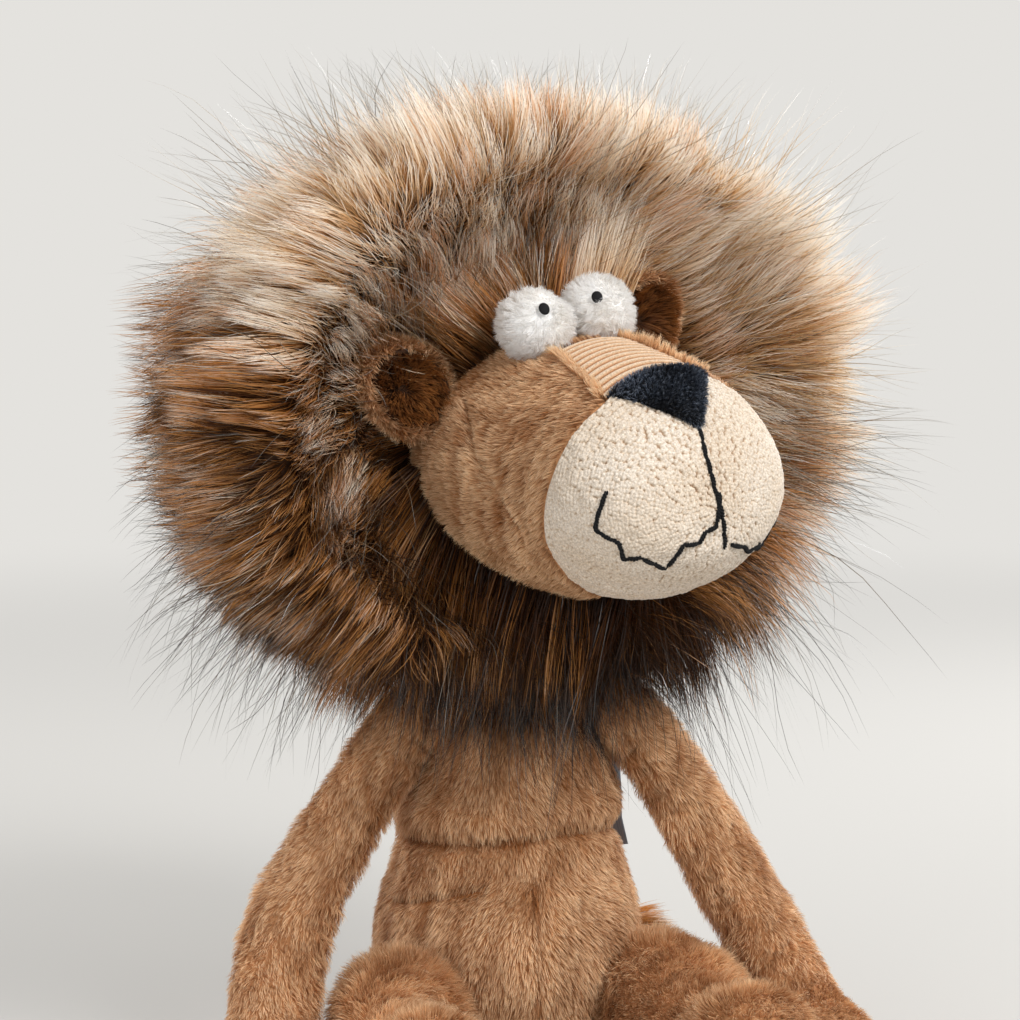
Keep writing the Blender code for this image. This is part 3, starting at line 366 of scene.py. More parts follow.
def build_materials():
    # acrylic short pile plush: matt, the roots darker as painted shade and the tips paler as a painted
    # highlight where the light catches the cut ends
    looks["plush"] = pile_material(
        "short_plush_pile",
        ((0.0, "#64391A"), (0.5, "#A86A38"), (1.0, "#CA8E56")),
        ((0.0, "#D29C68"), (0.5, "#FFD8A8"), (1.0, "#FFEAC8")),
    )
    looks["plush_base"] = cloth_material("short_plush_backing", "#A8754A", "#C8956A", 1.5)
    # modacrylic long pile: dark roots, partly its dye and partly painted shade, golden lengths, a silky
    # gloss; a shaded copy with black tips for painted shade and a lit copy with cream tips for painted
    # highlights
    looks["mane"] = pile_material(
        "long_pile_faux_fur",
        ((0.0, "#24130A"), (0.4, "#5E3618"), (0.8, "#3E2412"), (1.0, "#140C08")),
        ((0.0, "#8A5C32"), (0.25, "#ECC898"), (0.6, "#FFF2DE"), (1.0, "#FFFCF6")),
        ((0.0, "#4E2C14"), (0.35, "#C2803F"), (0.75, "#E6A660"), (1.0, "#B8793E")),
        roughness=0.42, glow=0.45, shine=0.32,
    )
    looks["mane_under"] = pile_material(
        "faux_fur_undercoat",
        ((0.0, "#1E1008"), (1.0, "#4A2A14")),
        ((0.0, "#8A5E34"), (0.5, "#D8AA74"), (1.0, "#F0D2A4")),
        ((0.0, "#55321A"), (0.5, "#9C662F"), (1.0, "#BC8446")),
        roughness=0.6, glow=0.25,
    )
    # guard hair: dark with black tips, and a lit copy whose near white tips are painted glints
    looks["guard"] = pile_material(
        "faux_fur_guard_hair",
        ((0.0, "#2A1810"), (0.5, "#3A2416"), (0.75, "#181009"), (1.0, "#0A0807")),
        ((0.0, "#7A5432"), (0.5, "#D8B484"), (0.75, "#F0E8DA"), (1.0, "#FBF8F2")),
        roughness=0.28, glow=0.1, shine=0.7,
    )
    looks["mane_base"] = cloth_material("faux_fur_backing", "#2A190E", "#4A2E1A", 3.0)
    # cotton terry with tight loops, cream, painted darker between the loops as shade
    looks["terry"] = relief_material(
        "loop_terry", ((0.0, "#BFA084"), (0.4, "#EBD8C0"), (1.0, "#FBF0E2")), 1400.0
    )
    # cotton corduroy: peach-brown, the ribs' cut pile paler and the ground between the ribs painted darker as
    # shade in the grooves
    looks["cord"] = relief_material(
        "wide_wale_corduroy", ((0.0, "#7A4A2C"), (0.4, "#C58E62"), (0.8, "#EAC8A4"), (1.0, "#F6DEC2")), 1600.0
    )
    # black plush pile, whose lit copy has bluish white tips as painted highlights on single loops
    looks["nose"] = pile_material(
        "black_plush_pile",
        ((0.0, "#050608"), (1.0, "#0C0E13")),
        ((0.0, "#10131A"), (0.5, "#485468"), (1.0, "#C4D0E4")),
        roughness=0.4, glow=0.05, shine=0.7,
    )
    looks["nose_base"] = cloth_material("black_plush_backing", "#07080B", "#0F1116", 0.8)
    looks["white"] = pile_material(
        "white_plush_pile",
        ((0.0, "#F2EEE8"), (0.6, "#FCFBF9"), (1.0, "#FFFFFF")),
        ((0.0, "#FFFFFF"), (1.0, "#FFFFFF")),
        glow=0.6,
    )
    looks["white_base"] = cloth_material("white_plush_backing", "#FAF8F4", "#FFFFFF", 1.0)
    looks["lining"] = pile_material(
        "ear_lining_pile",
        ((0.0, "#2A170C"), (1.0, "#8A5228")),
        ((0.0, "#54301A"), (1.0, "#C4803F")),
    )
    looks["lining_base"] = cloth_material("ear_lining_backing", "#2E1D12", "#4A2F1C", 1.0)
    looks["thread"] = cloth_material("black_cotton_yarn", "#0A0A0B", "#1B1B1D", 0.4, roughness=0.75)
    looks["satin"] = satin_material()
    looks["pouch"] = cloth_material("calico_pouch", "#CDBFA6", "#DDD2BC", 0.8)


def relief_material(name, stops, grain):
    """Cloth painted darker in its hollows as shade and paler on its raised parts: V says how high each place
    stands.
    """
    material, tree = new_material(name)
    layout = add_node(tree, "ShaderNodeUVMap", uv_map="Cloth")
    parts = add_node(tree, "ShaderNodeSeparateXYZ", {0: layout.outputs["UV"]})
    tone = add_ramp(tree, parts.outputs["Y"], stops)
    place = add_node(tree, "ShaderNodeTexCoord")
    noise = add_node(
        tree, "ShaderNodeTexNoise", {"Vector": place.outputs["Object"], "Scale": grain, "Detail": 3.0}
    )
    fleck = add_ramp(tree, noise.outputs["Fac"], ((0.3, "#C8C2BC"), (0.7, "#FFFFFF")))
    colour = add_node(
        tree, "ShaderNodeMix", {0: 1.0, 6: tone, 7: fleck}, data_type="RGBA", blend_type="MULTIPLY"
    )
    gloss = {"Roughness": 0.88, "Specular IOR Level": 0.2, "Sheen Weight": 0.25, "Sheen Roughness": 0.4}
    finish_cloth(tree, colour.outputs[2], noise, 0.5, 0.3 * MM, gloss)
    return material


def along(rows, station):
    """Values of a table at a fractional row number, on a smooth curve through the rows."""
    table = np.asarray(rows, float)
    station = np.clip(np.asarray(station, float), 0, len(table) - 1)
    index = np.minimum(station.astype(int), len(table) - 2)
    part = (station - index)[..., None]
    before = table[np.maximum(index - 1, 0)]
    start = table[index]
    end = table[index + 1]
    after = table[np.minimum(index + 2, len(table) - 1)]
    rise_start = (end - before) / 2
    rise_end = (after - start) / 2
    drop = start - end
    return (
        start
        + rise_start * part
        + (-3 * drop - 2 * rise_start - rise_end) * part**2
        + (2 * drop + rise_start + rise_end) * part**3
    )


def unit(vectors):
    return vectors / np.maximum(np.linalg.norm(vectors, axis=-1, keepdims=True), 1e-9)


def full_turn(count):
    """Evenly spaced angles once round, from zero."""
    return np.arange(count) * math.tau / count


def grid_of(rows, columns):
    """The row value and the column value at every point of a grid."""
    return np.meshgrid(rows, columns, indexing="ij")


def nearest(places, points):
    """For each point, the number of the nearest place and how far off it is."""
    tree = KDTree(len(places))
    for index, place in enumerate(places):
        tree.insert(place, index)
    tree.balance()
    found = [tree.find(point)[1:] for point in points]
    return np.array([index for index, gap in found]), np.array([gap for index, gap in found])


def length_along(line):
    """How far each point of a line lies from its start, along the line."""
    return np.concatenate([[0], np.cumsum(np.linalg.norm(np.diff(line, axis=0), axis=1))])


def resample(values, places, samples):
    """Rows of values, known at these places, read at the samples between them."""
    return np.stack([np.interp(samples, places, values[:, axis]) for axis in range(3)], axis=1)


def cloud(points, size, seed):
    """A smooth uneven field from about -1 to 1, whose patches are about this size."""
    rng = np.random.default_rng(seed)
    total = np.zeros(points.shape[:-1])
    for _ in range(9):
        way = unit(rng.normal(size=3)) * math.tau / size * rng.uniform(0.35, 1.1)
        total += np.sin(points @ way + rng.uniform(0, math.tau))
    return total / 3.2


def head_values(ring):
    shares = along(HEAD_SHARES, ring)
    length = (shares[..., 0] - SKULL_SHARE) * HEAD_LENGTH
    width = np.maximum(shares[..., 1], 0) * HEAD_WIDTH / 2
    middle = shares[..., 2] * HEAD_HEIGHT / 2
    half = np.maximum(shares[..., 3], 0) * HEAD_HEIGHT / 2
    return length, width, middle, half


def head_surface(ring, angle):
    length, width, middle, half = head_values(ring)
    return np.stack([width * np.sin(angle), -length + 0 * angle, middle + half * np.cos(angle)], axis=-1)


def head_point(ring, angle, offset=0.0):
    """A point of the head's form in the head's own axes, moved out by offset."""
    ring, angle = np.broadcast_arrays(np.asarray(ring, float), np.asarray(angle, float))
    step = 0.02
    near = np.clip(ring, 2 * step, LAST_RING - 2 * step)
    along_length = head_surface(near + step, angle) - head_surface(near - step, angle)
    around = head_surface(near, angle + step) - head_surface(near, angle - step)
    normal = unit(np.cross(along_length, around))
    normal = np.where((ring <= 0)[..., None], (0.0, 1.0, 0.0), normal)
    normal = np.where((ring >= LAST_RING)[..., None], (0.0, -1.0, 0.0), normal)
    return head_surface(ring, angle) + normal * np.asarray(offset)[..., None] + SKULL


def edge_ring(angle):
    share = np.abs(angle) / math.pi
    return np.interp(share, np.linspace(0, 1, len(EDGE_RINGS)), EDGE_RINGS)


def width_angle(ring, half_width):
    width = np.maximum(head_values(ring)[1], half_width)
    return np.arcsin(np.minimum(half_width / width, 1.0))


def bridge_half(ring):
    share = np.clip((ring - BRIDGE_START_RING) / (EDGE_RINGS[0] - BRIDGE_START_RING), 0, 1)
    return (BRIDGE_WIDTH + (NOSE_WIDTH - BRIDGE_WIDTH) * share) / 2


def gap_to(points, route):
    """Distance from points to a route of straight runs."""
    least = np.full(points.shape[:-1], np.inf)
    for start, end in zip(route, route[1:]):
        way = end - start
        share = np.clip(((points - start) @ way) / (way @ way), 0, 1)
        least = np.minimum(least, np.linalg.norm(points - start - share[..., None] * way, axis=-1))
    return least


def cheek_dent(ring, angle):
    """How deep the dart draws each cheek in."""
    mirror = np.where(np.sin(angle) > 0, -1, 1)[..., None] ** np.array((1, 0, 0))
    gap = gap_to(head_point(ring, angle, 0.0) * mirror, CHEEK_DART)
    return DART_DEPTH * np.exp(-((gap / DART_DEPTH) ** 2))


def from_head(points):
    """From the head's own axes to the frame's."""
    return np.asarray(points) @ np.array(HEAD_TURN).T + NECK_PLACE


def to_head(points):
    return (np.asarray(points) - NECK_PLACE) @ np.array(HEAD_TURN)


def head_vector(vectors):
    return np.asarray(vectors) @ np.array(HEAD_TURN).T


class Skin:
    """A curved sheet of cloth as a grid of points, with its outward normals and its row direction."""

    def __init__(self, points, wrap=False, flip=False):
        self.points = np.asarray(points, float)
        rows, columns = self.points.shape[:2]
        self.wrap = wrap
        ids = np.arange(rows * columns).reshape(rows, columns)
        right = np.roll(ids, -1, axis=1) if wrap else ids[:, 1:]
        left = ids if wrap else ids[:, :-1]
        quads = np.stack([left[:-1], right[:-1], right[1:], left[1:]], axis=-1).reshape(-1, 4)
        self.quads = quads[:, ::-1] if flip else quads
        down = np.gradient(self.points, axis=0)
        if wrap:
            across = np.roll(self.points, -1, axis=1) - np.roll(self.points, 1, axis=1)
        else:
            across = np.gradient(self.points, axis=1)
        normal = np.cross(across, down)
        if flip:
            normal = -normal
        size = np.linalg.norm(normal, axis=-1, keepdims=True)
        self.normals = np.where(size > 1e-12, normal / np.maximum(size, 1e-12), 0)
        for row, other in ((0, 1), (rows - 1, rows - 2)):
            if np.ptp(self.points[row], axis=0).max() < 1e-7:
                self.normals[row] = unit(self.normals[other].mean(axis=0))
        self.flow = unit(down)

    def scatter(self, count, rng, weight=None):
        """Random places on the skin: their points, normals and row directions."""
        points = self.points.reshape(-1, 3)
        quads = self.quads
        triangles = np.concatenate([quads[:, [0, 1, 2]], quads[:, [0, 2, 3]]])
        corners = points[triangles]
        first, second, third = corners.swapaxes(0, 1)
        areas = np.linalg.norm(np.cross(second - first, third - first), axis=1) / 2
        if weight is not None:
            areas = areas * weight(corners.mean(axis=1))
        pick = rng.choice(len(areas), size=count, p=areas / areas.sum())
        u, v = rng.random(count), rng.random(count)
        over = u + v > 1
        u[over], v[over] = 1 - u[over], 1 - v[over]
        shares = np.stack([1 - u - v, u, v], axis=1)[..., None]

        def blend(values):
            return (values.reshape(len(points), -1)[triangles[pick]] * shares).sum(axis=1)

        return blend(self.points), unit(blend(self.normals)), unit(blend(self.flow))

    def area(self):
        first, second, third, fourth = self.points.reshape(-1, 3)[self.quads].swapaxes(0, 1)
        return float((np.linalg.norm(np.cross(third - first, fourth - second), axis=1) / 2).sum())


def link(item):
    bpy.context.scene.collection.objects.link(item)
    return item


def mesh_from(name, points, quads, material, cloth_uv=None):
    """A smooth mesh object from arrays of points and faces."""
    mesh = bpy.data.meshes.new(name)
    mesh.from_pydata(points.reshape(-1, 3).tolist(), [], quads.tolist())
    if cloth_uv is not None:
        layer = mesh.uv_layers.new(name="Cloth")
        index = np.zeros(len(mesh.loops), np.int32)
        mesh.loops.foreach_get("vertex_index", index)
        layer.data.foreach_set("uv", cloth_uv.reshape(-1, 2)[index].astype(np.float32).ravel())
    mesh.validate()
    mesh.shade_smooth()
    mesh.materials.append(material)
    return link(bpy.data.objects.new(name, mesh))


def merge_doubles(item, distance=0.02 * MM):
    """Joins points that meet, fills round ends and turns every face outward."""
    shape = bmesh.new()
    shape.from_mesh(item.data)
    bmesh.ops.remove_doubles(shape, verts=shape.verts, dist=distance)
    bmesh.ops.dissolve_degenerate(shape, edges=shape.edges, dist=distance / 4)
    rims = [edge for edge in shape.edges if edge.is_boundary]
    bmesh.ops.holes_fill(shape, edges=rims, sides=0)
    bmesh.ops.recalc_face_normals(shape, faces=shape.faces)
    shape.to_mesh(item.data)
    shape.free()


def solid_from(name, skin, material, cloth_uv=None):
    item = mesh_from(name, skin.points, skin.quads, material, cloth_uv)
    merge_doubles(item)
    return item


def grow(roots, starts, ends, lengths, segments, rng, stray=0.1, wave=0.0):
    """Fibre paths: each leaves its root along starts and turns to ends by its tip."""
    count = len(roots)
    steps = (np.arange(segments) + 0.5) / segments
    turn = (steps**1.2)[None, :, None]
    ways = starts[:, None] * (1 - turn) + ends[:, None] * turn
    ways = ways + rng.normal(size=(count, 1, 3)) * stray * steps[None, :, None]
    if wave:
        swing = rng.normal(size=(count, 1, 3)) * wave
        phase = rng.uniform(0, math.tau, (count, 1, 1))
        ways = ways + swing * np.sin(phase + steps[None, :, None] * 7.0)
    ways = unit(ways)
    moves = ways * (np.asarray(lengths) / segments)[:, None, None]
    paths = np.concatenate([np.zeros((count, 1, 3)), np.cumsum(moves, axis=1)], axis=1)
    return roots[:, None] + paths


def clump(paths, size, amount, rng, power=1.4):
    """Draws fibres together towards a chosen few, more at the tips, into locks."""
    count = len(paths)
    leads = rng.choice(count, max(1, count // size), replace=False)
    near, _ = nearest(paths[leads, 0], paths[:, 0])
    lead_paths = paths[leads[near]]
    share = np.linspace(0, 1, paths.shape[1])[None, :, None] ** power
    pull = amount * rng.uniform(0.5, 1.0, (count, 1, 1))
    moved = paths + (lead_paths - paths) * share * pull
    return moved, near, rng.random(len(leads))


def ribbons(name, paths, width, tones, material, rng, taper=0.75, facing=None):
    """Fibres as narrow ribbons in one mesh, each with its own cell for baking, turned to the facing given."""
    count, stations = paths.shape[:2]
    segments = stations - 1
    way = unit(paths[:, -1] - paths[:, 0])
    scatter = rng.normal(size=(count, 3))
    side = unit(np.cross(way, scatter if facing is None else facing + 0.45 * scatter))
    share = np.arange(segments) / segments
    widths = np.asarray(width).reshape(-1, 1) * (1 - taper * share[None, :] ** 1.5) / 2
    offset = side[:, None] * widths[..., None]
    per = 2 * segments + 1
    points = np.empty((count, per, 3))
    points[:, 0:-1:2] = paths[:, :-1] - offset
    points[:, 1:-1:2] = paths[:, :-1] + offset
    points[:, -1] = paths[:, -1]
    loops = []
    for index in range(segments - 1):
        base = 2 * index
        loops += [base, base + 1, base + 3, base + 2]
    base = 2 * (segments - 1)
    loops += [base, base + 1, base + 2]
    pattern = np.array(loops)
    all_loops = (np.arange(count)[:, None] * per + pattern[None]).ravel()
    totals = np.tile(np.array([4] * (segments - 1) + [3]), count)
    starts = np.concatenate([[0], np.cumsum(totals)[:-1]])

    mesh = bpy.data.meshes.new(name)
    mesh.vertices.add(count * per)
    mesh.vertices.foreach_set("co", points.astype(np.float32).ravel())
    mesh.loops.add(len(all_loops))
    mesh.loops.foreach_set("vertex_index", all_loops.astype(np.int32))
    mesh.polygons.add(len(totals))
    mesh.polygons.foreach_set("loop_start", starts.astype(np.int32))
    mesh.polygons.foreach_set("loop_total", totals.astype(np.int32))
    mesh.polygons.foreach_set("use_smooth", np.ones(len(totals), bool))
    mesh.update(calc_edges=True)

    shares = np.repeat(share, 2)
    shares = np.concatenate([shares, [1.0]])
    strand = mesh.uv_layers.new(name="Strand")
    uv = np.empty((count, per, 2), np.float32)
    uv[..., 0] = np.clip(tones, 0, 1)[:, None]
    uv[..., 1] = shares[None]
    strand.data.foreach_set("uv", uv.reshape(-1, 2)[all_loops].ravel())
    columns = int(math.ceil(math.sqrt(count * 2)))
    rows = int(math.ceil(count / columns))
    place = np.arange(count)
    left = np.tile([0.2, 0.8], segments)
    across = np.concatenate([left, [0.5]])
    uv[..., 0] = (place % columns)[:, None] / columns + across[None] / columns
    uv[..., 1] = (place // columns)[:, None] / rows + (0.1 + 0.8 * shares[None]) / rows
    bake = mesh.uv_layers.new(name="OFBake")
    bake.data.foreach_set("uv", uv.reshape(-1, 2)[all_loops].ravel())
    mesh.materials.append(material)
    return link(bpy.data.objects.new(name, mesh))


def head_skin(points):
    """A closed skin from points in the head's axes."""
    return Skin(from_head(points)[:, ::-1], wrap=True)


def clamp_reach(paths):
    """Shortens the hair that would reach past the frame's box by more than its reach, or into the floor."""
    low = CAD_LOW - REACH
    low[2] = 0.0004
    high = CAD_HIGH + REACH
    roots = np.clip(paths[:, :1], low, high)
    ends = paths[:, 1:]
    room = np.where(ends > roots, high - roots, roots - low)
    share = np.abs(ends - roots) / np.maximum(room, 1e-6)
    worst = share.max(axis=(1, 2))
    ragged = 0.55 + 0.45 * np.modf(worst * 977.0)[0]
    scale = np.where(worst > 1, ragged / np.maximum(worst, 1), 1.0)
    return np.clip(roots + (paths - roots) * scale[:, None, None], low, high)


def dress(item, body, slot, *nodes):
    """Puts a piece on its body and hides the frame's solids that it stands for; its finish, slot, is not
    used.
    """
    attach(item, body)
    if nodes:
        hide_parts(*nodes)
    return item


def stuffed(name, skin, look, body, slot, fill, *nodes):
    """A sewn cover, closed into one solid; its filling, fill, is not used."""
    item = solid_from(name, skin, looks[look])
    dress(item, body, slot, *nodes)


def plush(name, skin, body, density, length=5.0, comb=None, weight=None, seed=1, look="plush",
          slot="short_plush", lift=30, width=0.32, size=26, tone=0.0, amount=0.4, keep=None, rough=0.6):
    """Short pile on a skin. density is fibres to a square millimetre, length in millimetres.

    tone makes it lighter or darker, by one number or by a function of the roots."""
    rng = np.random.default_rng(seed)
    count = int(skin.area() * 1e6 * density)
    roots, normals, flow = skin.scatter(count, rng, weight)
    if keep is not None:
        kept = keep(roots)
        roots, normals, flow = roots[kept], normals[kept], flow[kept]
    nap = flow if comb is None else comb(roots, normals, flow)
    nap = unit(nap - normals * (nap * normals).sum(axis=1, keepdims=True))
    swirl = cloud(roots, 0.05, seed + 3) * 0.5 * rough
    nap = nap * np.cos(swirl)[:, None] + np.cross(normals, nap) * np.sin(swirl)[:, None]
    angle = np.radians(lift + (rng.normal(size=len(roots)) * 11 + cloud(roots, 0.02, seed + 5) * 12) * rough)
    starts = normals * np.sin(angle + 0.45)[:, None] + nap * np.cos(angle + 0.45)[:, None]
    ends = normals * np.sin(angle - 0.25)[:, None] + nap * np.cos(angle - 0.25)[:, None]
    lengths = length * MM * rng.uniform(0.75, 1.15, len(roots)) * (1 + 0.15 * cloud(roots, 0.012, seed + 6))
    paths = grow(roots - normals * 0.2 * MM, starts, ends, lengths, 3, rng, stray=0.22 * rough)
    paths, near, lead_tones = clump(paths, size, amount, rng)
    streak = cloud(roots * (1.0, 1.0, 0.45), 0.012, seed + 8)
    tones = 0.45 + 0.22 * streak + 0.2 * (lead_tones[near] - 0.5) + 0.16 * rng.normal(size=len(roots))
    tones = tones + (tone(roots) if callable(tone) else tone)
    item = ribbons(name, clamp_reach(paths), width * MM, tones, looks[look], rng, facing=normals)
    dress(item, body, slot)
    return item


def waist_line(turn):
    """How high the waist crease runs, for an angle in degrees from the front."""
    return 0.0965 + 0.0045 * np.cos(np.radians(turn)) + 0.0012 * np.sin(np.radians(turn) * 2.3)


def nap_streaks(points):
    """Brush marks in short plush: paler and darker strokes that run down the cloth."""
    return 0.16 * cloud(points * (1.0, 1.0, 0.28), 0.0045, 17) + 0.07 * cloud(points, 0.02, 18)


def seam_line(turn):
    """How high the front panel's seam runs, for an angle in degrees from the front."""
    return SEAM_HEIGHT + (turn + SEAM_TURN) / SEAM_RUN * SEAM_RISE


def torso_halves(height, room):
    """Half width and half depth of the torso at a height, with some room round it."""
    rises, wide, deep = np.array(TORSO_SHARES)[:, :3].T
    share = height / TORSO_HEIGHT
    wide = np.interp(share, rises, wide) * TORSO_WIDTH / 2 + room
    return wide, np.interp(share, rises, deep) * TORSO_DEPTH / 2 + room


def torso_skin(offset, rows=150, columns=260):
    """The torso's cover, with its waist crease, its two seams and the soft lumps of its filling."""
    station = np.linspace(0, len(TORSO_SHARES) - 1, rows)
    table = along(TORSO_SHARES, station)
    turns = full_turn(columns)
    rise = np.clip(table[:, 0], 0, 1)[:, None]
    wide = np.maximum(table[:, 1], 0)[:, None] * (TORSO_WIDTH / 2 + offset)
    deep = np.maximum(table[:, 2], 0)[:, None] * (TORSO_DEPTH / 2 + offset)
    x = wide * np.sin(turns)
    y = -deep * np.cos(turns) - table[:, 3:4] * TORSO_DEPTH / 2
    z = rise * TORSO_HEIGHT + 0 * x
    turn = np.degrees(np.angle(np.exp(1j * turns)))[None]
    front = np.clip((105 - np.abs(turn)) / 30, 0, 1)
    crease = waist_line(turn)
    dent = 3.6 * front * np.exp(-(((z - crease) / 0.0042) ** 2))
    dent -= 1.6 * front * np.exp(-(((z - crease - 0.011) / 0.007) ** 2))
    dent += 1.8 * np.exp(-((turn * z / 0.09 / 2.6) ** 2)) * np.clip((0.086 - z) / 0.006, 0, 1)
    reach = np.clip((turn + 84) / 6, 0, 1), np.clip((-22 - turn) / 5, 0, 1)
    dent += 2.2 * np.exp(-(((z - seam_line(turn)) / 0.0022) ** 2)) * reach[0] * reach[1]
    around = np.stack([np.sin(turns), -np.cos(turns), 0 * turns], axis=-1)[None]
    grid = np.stack([x, y, z], axis=-1)
    # small pulls in the cloth above the crease, and soft lumps of filling
    wrinkle = cloud(grid * (0.35, 0.35, 1.0), 0.0075, 15) * front * np.exp(-(((z - 0.113) / 0.014) ** 2))
    dent += 0.9 * wrinkle + 0.6 * cloud(grid, 0.035, 16) * np.clip(z / 0.02, 0, 1)
    grid = grid - around * (dent * MM)[..., None]
    bottom = grid[:1] * (0.0, 0.0, 1.0)
    return Skin(np.concatenate([bottom, grid]), wrap=True)


def limb_skin(stations, wide_way, root_radius, sides=72, steps=90):
    """A stuffed limb: a ball at its root, the body along its route and a rounded tip."""
    places = np.array([place for place, half in stations])
    halves = np.array([half for place, half in stations])
    t = np.linspace(0, len(stations) - 1, steps)
    centres = along(places, t)
    half = along(halves, t)
    ways = unit(np.gradient(centres, axis=0))
    turns = full_turn(sides)

    def ring(centre, way, wide, deep):
        across = unit(wide_way - way * np.dot(wide_way, way))
        up = np.cross(way, across)
        return centre + np.outer(np.cos(turns), across) * wide + np.outer(np.sin(turns), up) * deep

    rings = []
    for angle in np.radians(np.linspace(-90, -8, 12)):
        rings.append(ring(
            centres[0] + ways[0] * root_radius * math.sin(angle), ways[0],
            root_radius * math.cos(angle), root_radius * math.cos(angle),
        ))
    for centre, way, size in zip(centres, ways, half):
        rings.append(ring(centre, way, size[0], size[1]))
    reach = float(min(half[-1]))
    for angle in np.radians(np.linspace(6, 90, 16)):
        rings.append(ring(
            centres[-1] + ways[-1] * reach * math.sin(angle), ways[-1],
            half[-1][0] * math.cos(angle), half[-1][1] * math.cos(angle),
        ))
    grid = np.array(rings)
    grid[..., 2] = np.maximum(grid[..., 2], 0.0)
    return Skin(grid, wrap=True)


def arm_skin(side):
    """An arm with soft lumps, and a gathered seam down its inner front."""
    skin = limb_skin(arm_stations(side), unit(np.array((1.0, float(side), 0.0))), ARM_ROOT_RADIUS, steps=150)
    rows, columns = skin.points.shape[:2]
    share = np.linspace(0, 1, rows)[:, None]
    turn = full_turn(columns)[None] - (0 if side < 0 else math.pi)
    turn = np.angle(np.exp(1j * turn))
    length = np.clip((share - 0.12) / 0.05, 0, 1) * np.clip((0.66 - share) / 0.06, 0, 1)
    dent = 2.0 * length * np.exp(-((turn / 0.17) ** 2))
    gather = np.sin(share * 150 + 0.8 * np.sin(share * 37)) * np.exp(-((turn / 0.55) ** 2)) * length
    fold = np.maximum(np.sin(share * 21 + 1.1 * turn + side), 0) ** 6 * np.exp(-((turn / 1.3) ** 2))
    dent = dent + 0.9 * gather + 1.3 * fold * np.clip(share * 8, 0, 1) + 0.5 * cloud(skin.points, 0.02, 24)
    fade = np.clip((1 - share) * 12, 0, 1)[..., None]
    return Skin(skin.points - skin.normals * (dent * MM)[..., None] * fade, wrap=True)


def arm_stations(side):
    shoulder = SHOULDER * (side, 1, 1)
    down = shoulder[2] - 1.04 * ARM_DEPTH / 2 + 1 * MM
    halves = np.array((ARM_WIDTH / 2, ARM_DEPTH / 2))
    stations = [(shoulder, np.array((ARM_ROOT_RADIUS, ARM_ROOT_RADIUS)))]
    for out, forward, drop, width, depth in ARM_SHARES:
        place = shoulder + (side * out * ARM_OUT, -forward * ARM_FORWARD, -drop * down)
        stations.append((place, halves * (width, depth)))
    return stations


def leg_stations(side):
    hip = HIP * (side, 1, 1)
    stations = [(hip, np.array((LEG_ROOT_RADIUS, LEG_ROOT_RADIUS)))]
    for out, forward, width, depth in LEG_SHARES:
        half = np.array((width, depth)) * LEG_WIDTH / 2
        place = np.array((hip[0] + side * out * LEG_OUT, hip[1] - forward * LEG_FORWARD, half[1] - 0.5 * MM))
        stations.append((place, half))
    return stations


def mane_core(row, around):
    """A point of the sewn body under the mane's hair, in the head's axes: in from the mane's form."""
    reach, narrow, depth = np.moveaxis(along(MANE_SHARES, row), -1, 0)
    edge = head_point(MANE_RIM_RING, math.pi / 2 - around, 2.5 * MM) - SKULL
    up = np.where(np.sin(around) > 0, MANE_RISE, MANE_DROP)
    x = MANE_ASIDE + MANE_SIDE * np.cos(around)
    z = MANE_LIFT + up * np.sin(around)
    x = narrow * (edge[..., 0] + (x - edge[..., 0]) * reach * CORE_REACH)
    y = MANE_DEPTH * (CORE_FRONT + (CORE_BACK - CORE_FRONT) * depth) - MANE_FORWARD
    z = narrow * (edge[..., 2] + (z - edge[..., 2]) * reach * CORE_REACH)
    return np.stack([x, y, z], axis=-1) + SKULL


def mane_grid(name, rows=40, columns=60):
    start, end = (math.radians(angle) for angle in MANE_SEAMS[name])
    low, high = (MANE_BACK_ROW, len(MANE_SHARES) - 1) if name == "back" else (0, MANE_BACK_ROW)
    row, around = grid_of(np.linspace(low, high, rows), np.linspace(start, end, columns))
    return mane_core(row, around)


def hairline(angle):
    """The ring of the head where the mane starts, for an angle from the crown."""
    share = np.abs(angle) / math.pi
    return np.interp(share, (0.0, 0.16, 0.30, 0.5, 0.66, 0.82, 1.0), (6.0, 5.9, 5.3, 5.4, 6.2, 7.4, 7.9))


def brow_skin(rows=30, columns=160):
    """The strip of the head cover that carries the mane's first hair."""
    angle = full_turn(columns)
    folded = np.where(angle > math.pi, math.tau - angle, angle)
    ring = FIRST_HAIR_RING + (hairline(folded) - FIRST_HAIR_RING)[None] * np.linspace(0, 1, rows)[:, None]
    return Skin(head_point(ring, np.broadcast_to(angle, ring.shape), 0.0)[:, ::-1], wrap=True)


